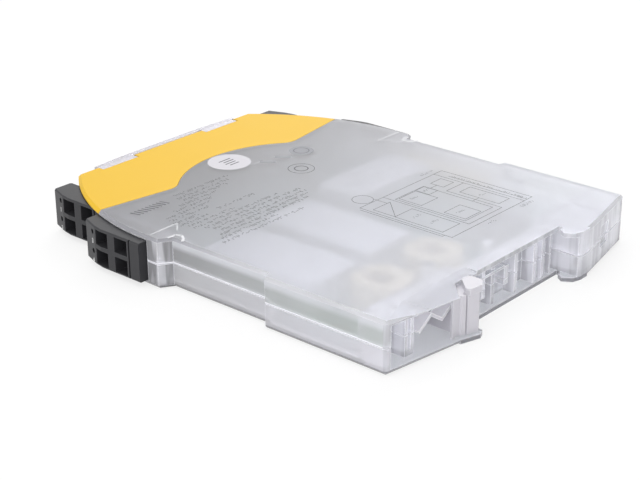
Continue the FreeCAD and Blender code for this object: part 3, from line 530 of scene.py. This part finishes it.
def add_line(bm, start, end, width, layer):
    """A printed line from start to end."""
    run = Vector((end[0] - start[0], end[1] - start[1]))
    if run.length < 1e-6:
        return
    side = Vector((-run.y, run.x)).normalized() * (width / 2.0)
    corners = [(start[0] + side.x, start[1] + side.y), (start[0] - side.x, start[1] - side.y),
               (end[0] - side.x, end[1] - side.y), (end[0] + side.x, end[1] + side.y)]
    add_plate(bm, corners[::-1], layer)


def add_lines(bm, points, width, layer):
    """Printed lines from each point to the next."""
    for start, end in zip(points, points[1:]):
        add_line(bm, start, end, width, layer)


def add_frame(bm, x0, y0, x1, y1, width, layer):
    """A printed rectangle made of four lines."""
    half = width / 2.0
    for y in (y0, y1):
        add_line(bm, (x0 - half, y), (x1 + half, y), width, layer)
    for x in (x0, x1):
        add_line(bm, (x, y0 + half), (x, y1 - half), width, layer)


def circle_points(x, y, radius, count):
    turns = [2 * math.pi * i / count for i in range(count)]
    return [(x + radius * math.cos(turn), y + radius * math.sin(turn)) for turn in turns]


def add_ring(bm, x, y, radius, width, layer, count=40):
    """A printed ring, whose width lies inside its radius."""
    outer_low, outer_high = [add_loop(bm, circle_points(x, y, radius, count), z) for z in layer]
    inner_low, inner_high = [add_loop(bm, circle_points(x, y, radius - width, count), z) for z in layer]
    for first, second in ((outer_low, outer_high), (outer_high, inner_high), (inner_high, inner_low),
                          (inner_low, outer_low)):
        join_loops(bm, first, second)


# ---------------- operators


# The housing's finishes, in the order in which its faces are given them.
FLAT, INNER, EDGE, SHADED, WALL, REAR, RIM, CORNER = range(8)
# What tells the faces apart: places in millimetres, and how far a face's normal leans.
COVER_SKIN = 1.15
BASE_SKIN = 0.75
LEVEL = 0.93
SLOPING = 0.3
SIDE_FACING = 0.9
SIDE_WALL_X = 40.0
SIDE_WALL_Y = (-9.0, 54.0)
CORNER_Y = -8.0
RIM_REACH = 0.05
# How deep the bosses lie under the cover's top, and how the marks lie on it, in millimetres.
SNAP_DEPTH = 1.22
MARK_LIFT = 0.003
MARK_FILM = 0.012


class RELAY_OT_housing(bpy.types.Operator):
    """Give both half shells of the housing their frosted clear finish"""
    bl_idname = "relay.housing"
    bl_label = "Dress Housing"
    bl_options = {"REGISTER", "UNDO"}

    def execute(self, context):
        look = context.scene.relay_housing
        base_rim = box_mm("housing_base")[1][2]
        cover_rim = box_mm("housing_cover")[1][2] - base_rim
        # Painted highlight: a bright line round the walls at the cover's lower rim, where the shells part;
        # it also glows.
        seam_highlight = Band(cover_rim * MM, 0.2 * MM, 0.12 * MM, look.edge, True)
        # Painted shade: a dark band along the foot of the walls.
        foot = Band(0.2 * MM, 0.6 * MM, 0.3 * MM, srgb(132, 132, 136), False)
        # Painted highlight: a lighter band near the top of the cover's walls, under its top edge.
        crown_highlight = Band(11.4 * MM, 0.5 * MM, 1.2 * MM, srgb(226, 227, 232), False)
        shared = self.shared_finishes(look, seam_highlight, foot)
        for name, rim, tone, front, bands in (
                ("housing_cover", cover_rim, look.upper_wall_with_shade, srgb(164, 164, 166), (crown_highlight, seam_highlight)),
                ("housing_base", base_rim, look.wall_lower, srgb(206, 205, 208), (foot, seam_highlight))):
            wall = clear_plastic("Clear wall of the " + name.replace("housing_", ""), tone, look.edge,
                                 look.wall_frost, look.wall_clearness, look.edge_width, edge_strength=4.0,
                                 fade=(front, -0.010, 0.045), bands=bands, glow=look.edge_glow)
            finishes = {**shared, WALL: wall}
            shell = node_object(name)
            finish_with(shell, *(finishes[place] for place in range(len(finishes))))
            is_cover = name == "housing_cover"
            for face in shell.data.polygons:
                face.material_index = self.finish_at(face.center / MM, face.normal, is_cover, rim)
        # The lit edge's tone, dimmed: for the pale bosses under the cover, and for the painted highlights
        # where ribs and clips touch it.
        pale = moulded("Cover bosses", shade(look.edge, 0.68), roughness=0.4)
        self.bosses(pale)
        self.contact_marks(pale)
        return {"FINISHED"}

    def shared_finishes(self, look, seam_highlight, foot):
        """The finishes that both shells share, by their place in the list."""
        def rear(name, tone, streaks, bands):
            return clear_plastic(name, tone, look.edge, look.wall_frost, look.wall_clearness,
                                 look.edge_width * 1.1, edge_strength=5.0, glow=look.edge_glow,
                                 streaks=streaks, bands=bands)

        return {
            FLAT: clear_plastic("Frosted flat side", look.top_rear, look.edge, look.top_frost,
                                look.top_clearness, look.edge_width, fade=(look.top_front, -0.038, 0.088)),
            INNER: clear_plastic("Inner faces", srgb(236, 238, 240), look.edge, look.wall_frost, 0.94,
                                 look.edge_width),
            EDGE: clear_plastic("Lit edge", shade(look.edge, 0.80), shade(look.edge, 0.95), 0.25, 0.45,
                                look.edge_width, fade=(shade(look.top_front, 1.15), -0.014, 0.03)),
            SHADED: clear_plastic("Shaded edge", look.shaded_edge, look.shaded_edge, 0.25, 0.12,
                                  look.edge_width),
            REAR: rear("Rear walls", look.wall_rear, (shade(look.wall_rear, 0.66), 5.0), (foot,)),
            RIM: clear_plastic("Lit rim", look.edge, look.edge, 0.3, 0.1, look.edge_width),
            CORNER: rear("Front corner walls", shade(look.wall_rear, 0.84), (srgb(150, 150, 153), 7.0),
                         (foot, seam_highlight)),
        }

    def finish_at(self, middle, normal, is_cover, rim):
        """The finish of a shell's face, by where its middle lies in millimetres and how it faces."""
        is_outer = middle.z > CAD_HIGH.z / MM - COVER_SKIN if is_cover else middle.z < BASE_SKIN
        if abs(normal.z) > LEVEL:
            if abs(middle.z - rim) < RIM_REACH:
                return RIM
            return FLAT if is_outer and (normal.z > 0) == is_cover else INNER
        if abs(normal.z) > SLOPING and is_outer:
            return EDGE if is_cover else SHADED
        is_along_side = SIDE_WALL_Y[0] < middle.y < SIDE_WALL_Y[1] and abs(middle.x) > SIDE_WALL_X
        if is_along_side and abs(normal.x) > SIDE_FACING:
            return WALL
        return CORNER if middle.y < CORNER_Y else REAR

    def bosses(self, material):
        """Small snap bosses moulded under the cover, which show as pale spots through it."""
        bm = bmesh.new()
        top = CAD_HIGH.z / MM - SNAP_DEPTH
        for side in (-1, 1):
            add_block(bm, (side * 42.1 - 0.85, -8.6, top - 3.6), (side * 42.1 + 0.85, -6.6, top), 0.25)
            add_block(bm, (side * 43.6 - 0.8, 21.8, top - 3.2), (side * 43.6 + 0.8, 23.4, top), 0.25)
        add_block(bm, (-3.6, 44.4, top - 2.6), (-1.4, 46.2, top), 0.3)
        new_piece("cover_bosses", bm, "housing", "clear_housing", material)

    def contact_marks(self, material):
        """Pale marks where inner ribs and clips touch the cover and catch the light."""
        bm = bmesh.new()
        layer = (CAD_HIGH.z / MM + MARK_LIFT, CAD_HIGH.z / MM + MARK_LIFT + MARK_FILM)
        rib = (0.34, ((46.4, -15.4), (37.4, -15.6)))
        brace = (0.22, ((37.4, -15.6), (40.6, -12.4)))
        clip = (0.7, ((45.0, -11.0), (42.6, -10.9), (41.8, -9.6), (42.8, -8.0), (44.2, -6.9)))
        for side in (-1, 1):
            for width, points in (rib, brace, clip):
                add_lines(bm, [(side * x, y) for x, y in points], width, layer)
        new_piece("contact_marks", bm, "housing", "clear_housing", material)


class RELAY_OT_front(bpy.types.Operator):
    """Finish the yellow hood, the clear flap, the marking plate and the light guide"""
    bl_idname = "relay.front"
    bl_label = "Dress Front"
    bl_options = {"REGISTER", "UNDO"}

    def execute(self, context):
        look = context.scene.relay_front
        # Painted highlight: the lighter yellow edge tint brightens the hood's edges.
        dress("front_hood", moulded(
            "Yellow hood", look.hood, shade(look.hood, 0.96), roughness=0.42, grain=2200.0, bump=0.06,
            edge_tint=srgb(244, 196, 66), edge_strength=0.8, gloss=0.14))
        dress("front_flap", clear_plastic(
            "Clear flap", look.flap_tint, srgb(252, 250, 255), 0.22, 0.5, 0.2 * MM))
        dress("marking_plate", moulded(
            "Marking plate", look.plate, roughness=0.5, grain=3000.0, bump=0.03))
        dress("light_guide", clear_plastic(
            "Light guide", srgb(236, 240, 240), WHITE, 0.08, 0.9, 0.15 * MM))
        return {"FINISHED"}


# Where a terminal's number lies on its block, in millimetres, and how the number is drawn, in metres.
NUMBER_START = 3.0
NUMBER_IN = 3.6
NUMBER_DROP = 1.75
NUMBER_LIFT = 0.02 * MM
NUMBER_DEPTH = 0.01 * MM
NUMBER_WEIGHT = 0.04 * MM


class RELAY_OT_terminals(bpy.types.Operator):
    """Finish the plug-in terminal blocks with their clamps, headers and numbers"""
    bl_idname = "relay.terminals"
    bl_label = "Dress Terminals"
    bl_options = {"REGISTER", "UNDO"}

    def execute(self, context):
        look = context.scene.relay_terminals
        board = context.scene.relay_board
        # Painted highlight: the lighter grey edge tint brightens the blocks' edges.
        body = moulded("Terminal moulding", look.moulding, shade(look.moulding, 0.75), roughness=0.46,
                       grain=1900.0, bump=0.12, patch=140.0, edge_tint=srgb(88, 88, 92), edge_strength=1.4,
                       gloss=0.32)
        clamp = metal("Clamp steel", srgb(196, 196, 198), 0.3, grain=5200.0)
        pins = metal("Tinned pins", srgb(214, 212, 204), 0.22)
        header = moulded("Header moulding", board.header, roughness=0.45)
        ink = moulded("Terminal number ink", look.digits, roughness=0.55, amount=0.3)
        for index, bay in enumerate(BAYS):
            dress("terminal_block_" + bay, body)
            dress("clamp_springs_" + bay, clamp)
            dress("header_pins_" + bay, pins)
            dress("pin_header_" + bay, header)
            self.numbers(bay, 1 + 2 * index, look.digit_height / MM, ink)
        return {"FINISHED"}

    def numbers(self, bay, first, height, ink):
        """Two small printed numbers below the test holes of one block."""
        block = node_object("terminal_block_" + bay)
        low, high = box_mm("terminal_block_" + bay)
        outward = 1.0 if bay.endswith("near") else -1.0
        start_x = (high[0] if outward > 0 else low[0]) + outward * NUMBER_START
        middle = (low[2] + high[2]) / 2.0
        pitch = (high[2] - low[2]) / 2.0
        for pole in range(2):
            start_z = middle + (0.5 - pole) * pitch - NUMBER_DROP
            start = Vector((start_x, low[1] + NUMBER_IN, start_z)) * MM
            found, spot, out, _ = block.ray_cast(start, Vector((-outward, 0, 0)))
            if not found:
                raise RuntimeError("no face for the number of " + bay)
            up = Vector((0, 0, 1))
            turn = Matrix((up.cross(out).normalized(), up, out)).transposed().to_4x4()
            place = Matrix.Translation(spot + out * NUMBER_LIFT) @ turn
            printed = self.number(str(first + pole), height, place)
            finish_with(printed, ink)
            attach(printed, "plug_" + bay)

    def number(self, digits, height, place):
        """The mesh of one printed number, as a font draws it."""
        curve = bpy.data.curves.new("terminal_number_" + digits, "FONT")
        curve.body = digits
        curve.size = height * MM
        curve.extrude = NUMBER_DEPTH
        curve.offset = NUMBER_WEIGHT
        curve.align_x = "CENTER"
        curve.align_y = "CENTER"
        curve.resolution_u = 3
        drawn = bpy.data.objects.new(curve.name, curve)
        printed = new_object(curve.name + "_print", bpy.data.meshes.new_from_object(drawn))
        printed.matrix_world = place
        bpy.data.objects.remove(drawn)
        return printed


class RELAY_OT_latch(bpy.types.Operator):
    """Finish the rail latch and its zigzag spring in natural white plastic"""
    bl_idname = "relay.latch"
    bl_label = "Dress Latch"
    bl_options = {"REGISTER", "UNDO"}

    def execute(self, context):
        look = context.scene.relay_latch
        # Painted highlight: the white edge tint brightens the latch's edges.
        body = moulded("Latch moulding", look.moulding, shade(look.moulding, 0.95), roughness=0.4,
                       grain=2400.0, edge_tint=srgb(250, 250, 252), edge_strength=1.2)
        shader = body.node_tree.nodes["Principled BSDF"]
        shader.inputs["Subsurface Weight"].default_value = 0.25
        shader.inputs["Subsurface Radius"].default_value = (2.0 * MM, 2.0 * MM, 2.0 * MM)
        dress("rail_latch", body)
        spring = node_object("latch_spring")
        # Painted highlights and a painted glow on the spring's edges.
        finish_with(spring, clear_plastic(
            "Latch spring", shade(look.moulding, 1.1), WHITE, 0.3, 0.45, 0.25 * MM,
            edge_strength=5.0, glow=0.4))
        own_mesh(spring)
        return {"FINISHED"}


# Where small parts may stand on the board, in millimetres. A step is a y and half the width below it.
SCATTER_X = 40.0
SCATTER_Y = (-50.0, 44.0)
BOARD_STEPS = ((-34.0, 29.0), (-14.0, 36.0))
BOARD_POSTS = ((-27.0, -38.0), (27.0, -38.0), (-38.0, 30.0), (16.6, 43.0))
POST_ROOM = 3.4
PART_GAP = 0.6
PART_SIZES = ((1.6, 0.8), (2.0, 1.25), (3.2, 1.6), (1.3, 2.9))
PART_HEIGHTS = (0.45, 0.6, 0.9)
LARGE_PARTS = ("relay_", "choke_", "capacitor_", "logic_chip", "status_", "pin_header", "header_pins",
               "driver_block")
# The small parts' finishes, in order.
BLACK, TAN, SOLDER = range(3)
SOLDER_REACH = 0.2
SOLDER_LAP = 0.03
SOLDER_RISE = 0.02
MOST_TRIES = 6000


class RELAY_OT_board(bpy.types.Operator):
    """Finish the circuit board and set small parts and solder joints on it"""
    bl_idname = "relay.board"
    bl_label = "Dress Board"
    bl_options = {"REGISTER", "UNDO"}

    def execute(self, context):
        look = context.scene.relay_board
        dress("main_board", lacquered_board("Board lacquer", look.lacquer))
        top = box_mm("main_board")[1][2]
        taken = [box_mm(name) for name in sorted(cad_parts) if name.startswith(LARGE_PARTS)]
        chooser = random.Random(7)
        parts = bmesh.new()
        placed = 0
        tries = 0
        while placed < look.small_parts and tries < MOST_TRIES:
            tries += 1
            x = chooser.uniform(-SCATTER_X, SCATTER_X)
            y = chooser.uniform(*SCATTER_Y)
            if not self.is_on_board(x, y):
                continue
            size = chooser.choice(PART_SIZES)
            if chooser.random() < 0.5:
                size = size[::-1]
            half_x, half_y = size[0] / 2, size[1] / 2
            if any(low[0] - PART_GAP - half_x < x < high[0] + PART_GAP + half_x
                   and low[1] - PART_GAP - half_y < y < high[1] + PART_GAP + half_y for low, high in taken):
                continue
            height = chooser.choice(PART_HEIGHTS)
            kind = chooser.choice((BLACK, BLACK, TAN))
            self.small_part(parts, x, y, top, half_x, half_y, height, kind)
            taken.append(((x - half_x, y - half_y), (x + half_x, y + half_y)))
            placed += 1
        new_piece("board_small_parts", parts, "housing", "chip_case",
                  moulded("Small part black", srgb(46, 46, 50), roughness=0.45),
                  moulded("Small part tan", srgb(176, 148, 112), roughness=0.5),
                  metal("Solder", srgb(206, 206, 208), 0.32))
        return {"FINISHED"}

    def is_on_board(self, x, y):
        """Whether a place is within the board's stepped outline and clear of the posts through it."""
        if any(y < step_y and abs(x) > half_width for step_y, half_width in BOARD_STEPS):
            return False
        return all(math.hypot(x - post_x, y - post_y) >= POST_ROOM for post_x, post_y in BOARD_POSTS)

    def small_part(self, bm, x, y, top, half_x, half_y, height, kind):
        """One small part, with a soldered cap at each end of its longer side."""
        add_block(bm, (x - half_x, y - half_y, top), (x + half_x, y + half_y, top + height), 0.06, kind)
        is_along_x = half_x > half_y
        cap_x = SOLDER_REACH if is_along_x else half_x + SOLDER_LAP
        cap_y = half_y + SOLDER_LAP if is_along_x else SOLDER_REACH
        for end in (-1, 1):
            end_x = x + end * half_x if is_along_x else x
            end_y = y if is_along_x else y + end * half_y
            add_block(bm, (end_x - cap_x, end_y - cap_y, top),
                      (end_x + cap_x, end_y + cap_y, top + height + SOLDER_RISE), 0.05, SOLDER)


class RELAY_OT_components(bpy.types.Operator):
    """Finish the sealed relays, chokes, capacitors, chips and lights"""
    bl_idname = "relay.components"
    bl_label = "Dress Components"
    bl_options = {"REGISTER", "UNDO"}

    def execute(self, context):
        look = context.scene.relay_board
        finishes = {
            # Painted highlight: the white edge tint brightens the relay cases' edges.
            ("relay_",): moulded("Relay case", look.relay_case, shade(look.relay_case, 0.96), roughness=0.38,
                                 edge_tint=WHITE, edge_strength=0.8),
            ("choke_bobbin", "driver_block"): moulded("Choke bobbin", look.bobbin, shade(look.bobbin, 0.92),
                                                      roughness=0.5),
            ("choke_core",): moulded("Ferrite", srgb(150, 136, 112), roughness=0.7, grain=1200.0, bump=0.3),
            ("capacitor",): moulded("Capacitor sleeve", srgb(58, 62, 84), roughness=0.3),
            ("logic_chip",): moulded("Chip case", srgb(44, 44, 48), roughness=0.5, grain=3000.0, bump=0.2),
            ("status_lights",): clear_plastic("Status lens", srgb(226, 236, 220), WHITE, 0.12, 0.7,
                                              0.2 * MM),
        }
        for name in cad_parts:
            for starts, material in finishes.items():
                if name.startswith(starts):
                    dress(name, material)
        return {"FINISHED"}


# The print's own forms, in millimetres on the cover.
PRINT_LIFT = 0.004
OVERPRINT = 0.01
LABEL_PLACE = (0.2, -34.6)
LABEL_RADIUS = 5.7
FIELD_PLACE = (-18.3, -26.0)
RINGS_PLACE = (-8.4, -17.2)
FIELD_BARS = ((-6.6, -27.0), (-11.8, -26.4))
# Each stroke of small print runs from one share of the row's height to another.
STROKES = ((0.0, 1.0), (0.0, 0.62), (0.0, 0.62), (0.3, 1.0))
DASH_HEIGHTS = (0.05, 0.35, 0.65)
STROKE_SHARE = 0.62
DIAGRAM_FRAMES = ((-30.4, 11.3, 2.4, 38.9), (-18.7, 14.4, -7.5, 35.4), (-14.8, 28.5, -8.5, 34.8),
                  (-5.4, 21.2, 1.3, 35.4), (-18.8, 14.6, -15.3, 18.8), (-15.0, 14.8, -8.4, 21.7),
                  (-25.9, 23.5, -21.5, 35.3), (-25.8, 14.5, -21.5, 18.5))
DIAGRAM_LINES = (((-27.1, 11.3), (-27.1, 38.9)), ((-28.4, 15.0), (-28.4, 38.9)),
                 ((-5.3, 14.5), (1.2, 21.3), (1.2, 14.5), (-5.3, 14.5)),
                 ((-6.6, 11.3), (-6.6, 37.2), (-20.0, 37.2), (-20.0, 20.6), (-27.1, 20.6)),
                 ((-4.2, 10.2), (-4.2, 14.5)), ((3.3, 12.2), (3.3, 36.8), (2.4, 36.8)),
                 ((-21.5, 29.4), (-18.7, 29.4)), ((-21.5, 16.5), (-18.7, 16.5)))
DIAGRAM_ROWS = (((-29.2, 15.9), (-29.2, 38.4)), ((-28.2, 40.9), (-23.4, 40.9)),
                ((-12.6, 40.8), (-10.0, 40.8)), ((-28.8, 9.7), (-23.6, 9.7)), ((-12.8, 17.6), (-10.2, 17.6)),
                ((-13.0, 31.4), (-10.4, 31.4)), ((-3.8, 30.4), (-1.2, 30.4)), ((-3.8, 25.2), (-1.2, 25.2)),
                ((-18.2, 16.9), (-16.2, 16.9)), ((-24.8, 29.0), (-22.4, 29.0)))
DIAGRAM_RING = (-2.2, 8.4, 2.7)
# Each row of small print is its y and the x where it starts and stops.
SMALL_ROWS = ((-28.9, 26.0, 7.6), (-27.0, 26.6, 9.0), (-25.2, 26.6, 11.6), (-23.4, 29.4, 17.0),
              (-21.6, 33.0, 20.0), (-19.8, 37.4, 22.4), (-18.0, 37.8, 25.2), (-15.2, 24.8, 12.0),
              (-16.2, 38.2, 29.6), (-14.4, 38.2, 27.8), (-12.6, 36.8, 22.0), (-10.8, 36.8, 8.0),
              (-9.0, 35.0, 1.6), (-7.2, 34.0, 2.2), (-5.4, 33.4, 3.0), (-3.6, 35.6, 5.0),
              (-1.8, 37.0, 18.0), (0.2, 38.4, 11.0))


class RELAY_OT_print(bpy.types.Operator):
    """Lay the printed diagram, the lines of small print and the round label on the cover"""
    bl_idname = "relay.print"
    bl_label = "Lay Print"
    bl_options = {"REGISTER", "UNDO"}

    def execute(self, context):
        look = context.scene.relay_print
        foot = CAD_HIGH.z / MM + PRINT_LIFT
        layer = (foot, foot + look.film / MM)
        ink = moulded("Print ink", look.ink, shade(look.ink, 0.85), roughness=0.55, grain=3000.0, bump=0.02)
        soft = moulded("Soft print", look.soft_ink, shade(look.soft_ink, 0.94), roughness=0.6)
        pale = moulded("Round label", look.label, roughness=0.5, amount=0.3)
        self.diagram(layer, look.line_width / MM, ink)
        self.small_print(layer, ink)
        self.label(layer, pale)
        self.fields(layer, soft)
        self.rings(layer, ink)
        return {"FINISHED"}

    def label(self, layer, material):
        bm = bmesh.new()
        add_plate(bm, circle_points(*LABEL_PLACE, LABEL_RADIUS, 56), layer)
        new_piece("round_label", bm, "housing", "white_label", material)

    def fields(self, layer, material):
        """A soft round field and two soft slanted bars beside the label."""
        bm = bmesh.new()
        add_plate(bm, circle_points(*FIELD_PLACE, 3.3, 40), layer)
        for x, y in FIELD_BARS:
            add_line(bm, (x + 1.5, y - 1.7), (x - 1.1, y + 1.5), 1.3, layer)
        new_piece("printed_fields", bm, "housing", "header_moulding", material)

    def rings(self, layer, material):
        """Rings over the round field and beside it, and four bars over the label."""
        bm = bmesh.new()
        over = (layer[1], layer[1] + OVERPRINT)
        add_ring(bm, *FIELD_PLACE, 2.2, 0.3, over)
        add_ring(bm, *RINGS_PLACE, 3.5, 0.16, layer)
        add_ring(bm, *RINGS_PLACE, 1.9, 0.3, layer)
        for i in range(4):
            y = -36.4 + 1.2 * i
            add_line(bm, (2.2 - 0.5 * (i % 2), y), (-1.9 + 0.4 * (i // 2), y), 0.42, over)
        new_piece("printed_rings", bm, "housing", "header_moulding", material)

    def row(self, bm, chooser, start, stop, height, width, layer):
        """One row of short strokes that stands for small print, from start towards stop."""
        run = Vector(stop) - Vector(start)
        reach = run.length
        run.normalize()
        up = Vector((-run.y, run.x)) * -height
        step = height * 0.5
        done = 0.0
        while done < reach:
            for _ in range(chooser.randint(3, 10)):
                if done > reach:
                    break
                foot = Vector(start) + run * done
                if chooser.random() < STROKE_SHARE:
                    low, high = chooser.choice(STROKES)
                    add_line(bm, foot + up * low, foot + up * high, width, layer)
                else:
                    rise = up * chooser.choice(DASH_HEIGHTS)
                    add_line(bm, foot + rise, foot + rise + run * step * 0.7, width, layer)
                done += step
            done += step * chooser.uniform(0.7, 1.4)

    def diagram(self, layer, width, material):
        """A generic block diagram: frames, blocks and joining lines."""
        bm = bmesh.new()
        for corners in DIAGRAM_FRAMES:
            add_frame(bm, *corners, width, layer)
        for points in DIAGRAM_LINES:
            add_lines(bm, points, width, layer)
        add_ring(bm, *DIAGRAM_RING, width, layer, 36)
        chooser = random.Random(31)
        for start, stop in DIAGRAM_ROWS:
            self.row(bm, chooser, start, stop, 1.0, 0.1, layer)
        new_piece("printed_diagram", bm, "housing", "header_moulding", material)

    def small_print(self, layer, material):
        """Rows of short strokes that stand for small print, and a larger row of slanted bars."""
        bm = bmesh.new()
        chooser = random.Random(23)
        for i in range(9):
            add_line(bm, (39.6 - 1.2 * i, -26.0), (40.4 - 1.2 * i, -28.6), 0.46, layer)
        for y, start, stop in SMALL_ROWS:
            self.row(bm, chooser, (start, y), (stop, y), 1.15, 0.16, layer)
        new_piece("printed_lines", bm, "housing", "header_moulding", material)


FLOOR_REACH = 3000.0
FLOOR_TOP = -0.02
FLOOR_DEPTH = 20.0
FLOOR_WHITENESS = 0.75
# The camera looks along this heading and slope, in degrees, from this far, in metres.
CAMERA_HEADING = 131.17
CAMERA_SLOPE = 23.62
CAMERA_TILT = -0.35
CAMERA_AWAY = 0.3854
CAMERA_TARGET = (0.0016, -0.0022, 0.0)


class RELAY_OT_stage(bpy.types.Operator):
    """Set up the pale floor, the soft lights and the camera"""
    bl_idname = "relay.stage"
    bl_label = "Set Stage"
    bl_options = {"REGISTER", "UNDO"}

    def execute(self, context):
        look = context.scene.relay_stage
        self.floor(look)
        self.world(context, look)
        self.area("Key softbox", (0.15, -0.1, 0.75), 0.9, look.key)
        self.area("Camera fill", (0.55, 0.35, 0.28), 0.5, look.fill)
        self.area("Back softbox", (-0.55, -0.35, 0.45), 0.6, look.fill)
        self.camera(context, look)
        context.scene.view_settings.view_transform = "Standard"
        return {"FINISHED"}

    def seen(self, tree):
        """1 for what the camera sees straight, in a gloss or through glass, and 0 for other light."""
        rays = put(tree, "ShaderNodeLightPath")
        straight = maths(tree, "MAXIMUM", rays.outputs["Is Camera Ray"], rays.outputs["Is Glossy Ray"])
        return maths(tree, "MAXIMUM", straight, rays.outputs["Is Transmission Ray"])

    def mix_shaders(self, tree, weight, first, second, output):
        """Joins two shaders to an output, by the second one's weight."""
        mixed = put(tree, "ShaderNodeMixShader", {"Fac": weight, 1: first.outputs[0], 2: second.outputs[0]})
        feed(tree, mixed.outputs["Shader"], output.inputs["Surface"])

    def floor(self, look):
        bm = bmesh.new()
        corners = [(FLOOR_REACH * x, FLOOR_REACH * y) for x, y in ((-1, -1), (1, -1), (1, 1), (-1, 1))]
        add_plate(bm, corners, (-FLOOR_DEPTH, FLOOR_TOP))
        floor = mesh_object("studio_floor", bm)
        material, tree, shader = new_material(
            "Pale floor", {"Base Color": rgba(look.floor), "Roughness": 0.9, "Specular IOR Level": 0.0})
        lit = put(tree, "ShaderNodeEmission", {"Color": WHITE})
        weight = maths(tree, "MULTIPLY", self.seen(tree), FLOOR_WHITENESS)
        self.mix_shaders(tree, weight, shader, lit, tree.nodes["Material Output"])
        finish_with(floor, material)

    def world(self, context, look):
        world = bpy.data.worlds.new("Studio")
        world.use_nodes = True
        context.scene.world = world
        tree = world.node_tree
        tree.nodes.clear()
        skies = [put(tree, "ShaderNodeBackground", {"Color": WHITE, "Strength": strength})
                 for strength in (look.sky, 1.0)]
        self.mix_shaders(tree, self.seen(tree), *skies, put(tree, "ShaderNodeOutputWorld"))

    def area(self, name, offset, size, power):
        """A round soft light that faces the middle of the relay."""
        light = bpy.data.lights.new(name, "AREA")
        light.shape = "DISK"
        light.size = size
        light.energy = power
        centre = Vector((0.0, 0.0, 0.01))
        lamp = new_object(name, light)
        lamp.location = centre + Vector(offset)
        lamp.rotation_euler = (centre - lamp.location).to_track_quat("-Z", "Y").to_euler()

    def camera(self, context, look):
        data = bpy.data.cameras.new("Camera")
        data.lens = look.lens
        data.sensor_width = 36.0
        data.clip_start = 0.01
        data.clip_end = 50.0
        camera = new_object("Camera", data)
        heading = math.radians(CAMERA_HEADING)
        slope = math.radians(CAMERA_SLOPE)
        away = Vector((math.sin(heading) * math.cos(slope), -math.cos(heading) * math.cos(slope),
                       math.sin(slope)))
        place = Matrix.Translation(Vector(CAMERA_TARGET) + away * CAMERA_AWAY)
        look_down = (-away).to_track_quat("-Z", "Y").to_matrix().to_4x4()
        camera.matrix_world = place @ look_down @ Matrix.Rotation(math.radians(CAMERA_TILT), 4, "Z")
        context.scene.camera = camera


class RELAY_PT_panel(bpy.types.Panel):
    """Lists the settings and steps of the relay's dress"""
    bl_idname = "RELAY_PT_panel"
    bl_label = "Safety Relay"
    bl_space_type = "VIEW_3D"
    bl_region_type = "UI"
    bl_category = "Safety Relay"

    def draw(self, context):
        for step in STEPS:
            self.layout.operator(step.bl_idname)
        for name, kind in SETTINGS.items():
            column = self.layout.box().column()
            column.label(text=name.replace("_", " ").title())
            for key in kind.__annotations__:
                column.prop(getattr(context.scene, name), key)


STEPS = (RELAY_OT_housing, RELAY_OT_front, RELAY_OT_terminals, RELAY_OT_latch, RELAY_OT_board,
         RELAY_OT_components, RELAY_OT_print, RELAY_OT_stage)


def register():
    for kind in (*SETTINGS.values(), *STEPS, RELAY_PT_panel):
        bpy.utils.register_class(kind)
    for name, kind in SETTINGS.items():
        setattr(bpy.types.Scene, name, bpy.props.PointerProperty(type=kind))


def unregister():
    for name in SETTINGS:
        delattr(bpy.types.Scene, name)
    for kind in reversed((*SETTINGS.values(), *STEPS, RELAY_PT_panel)):
        bpy.utils.unregister_class(kind)


def main():
    register()
    bpy.ops.relay.housing()
    bpy.ops.relay.front()
    bpy.ops.relay.terminals()
    bpy.ops.relay.latch()
    bpy.ops.relay.board()
    bpy.ops.relay.components()
    bpy.ops.relay.print()
    bpy.ops.relay.stage()


if __name__ == "__main__":
    main()
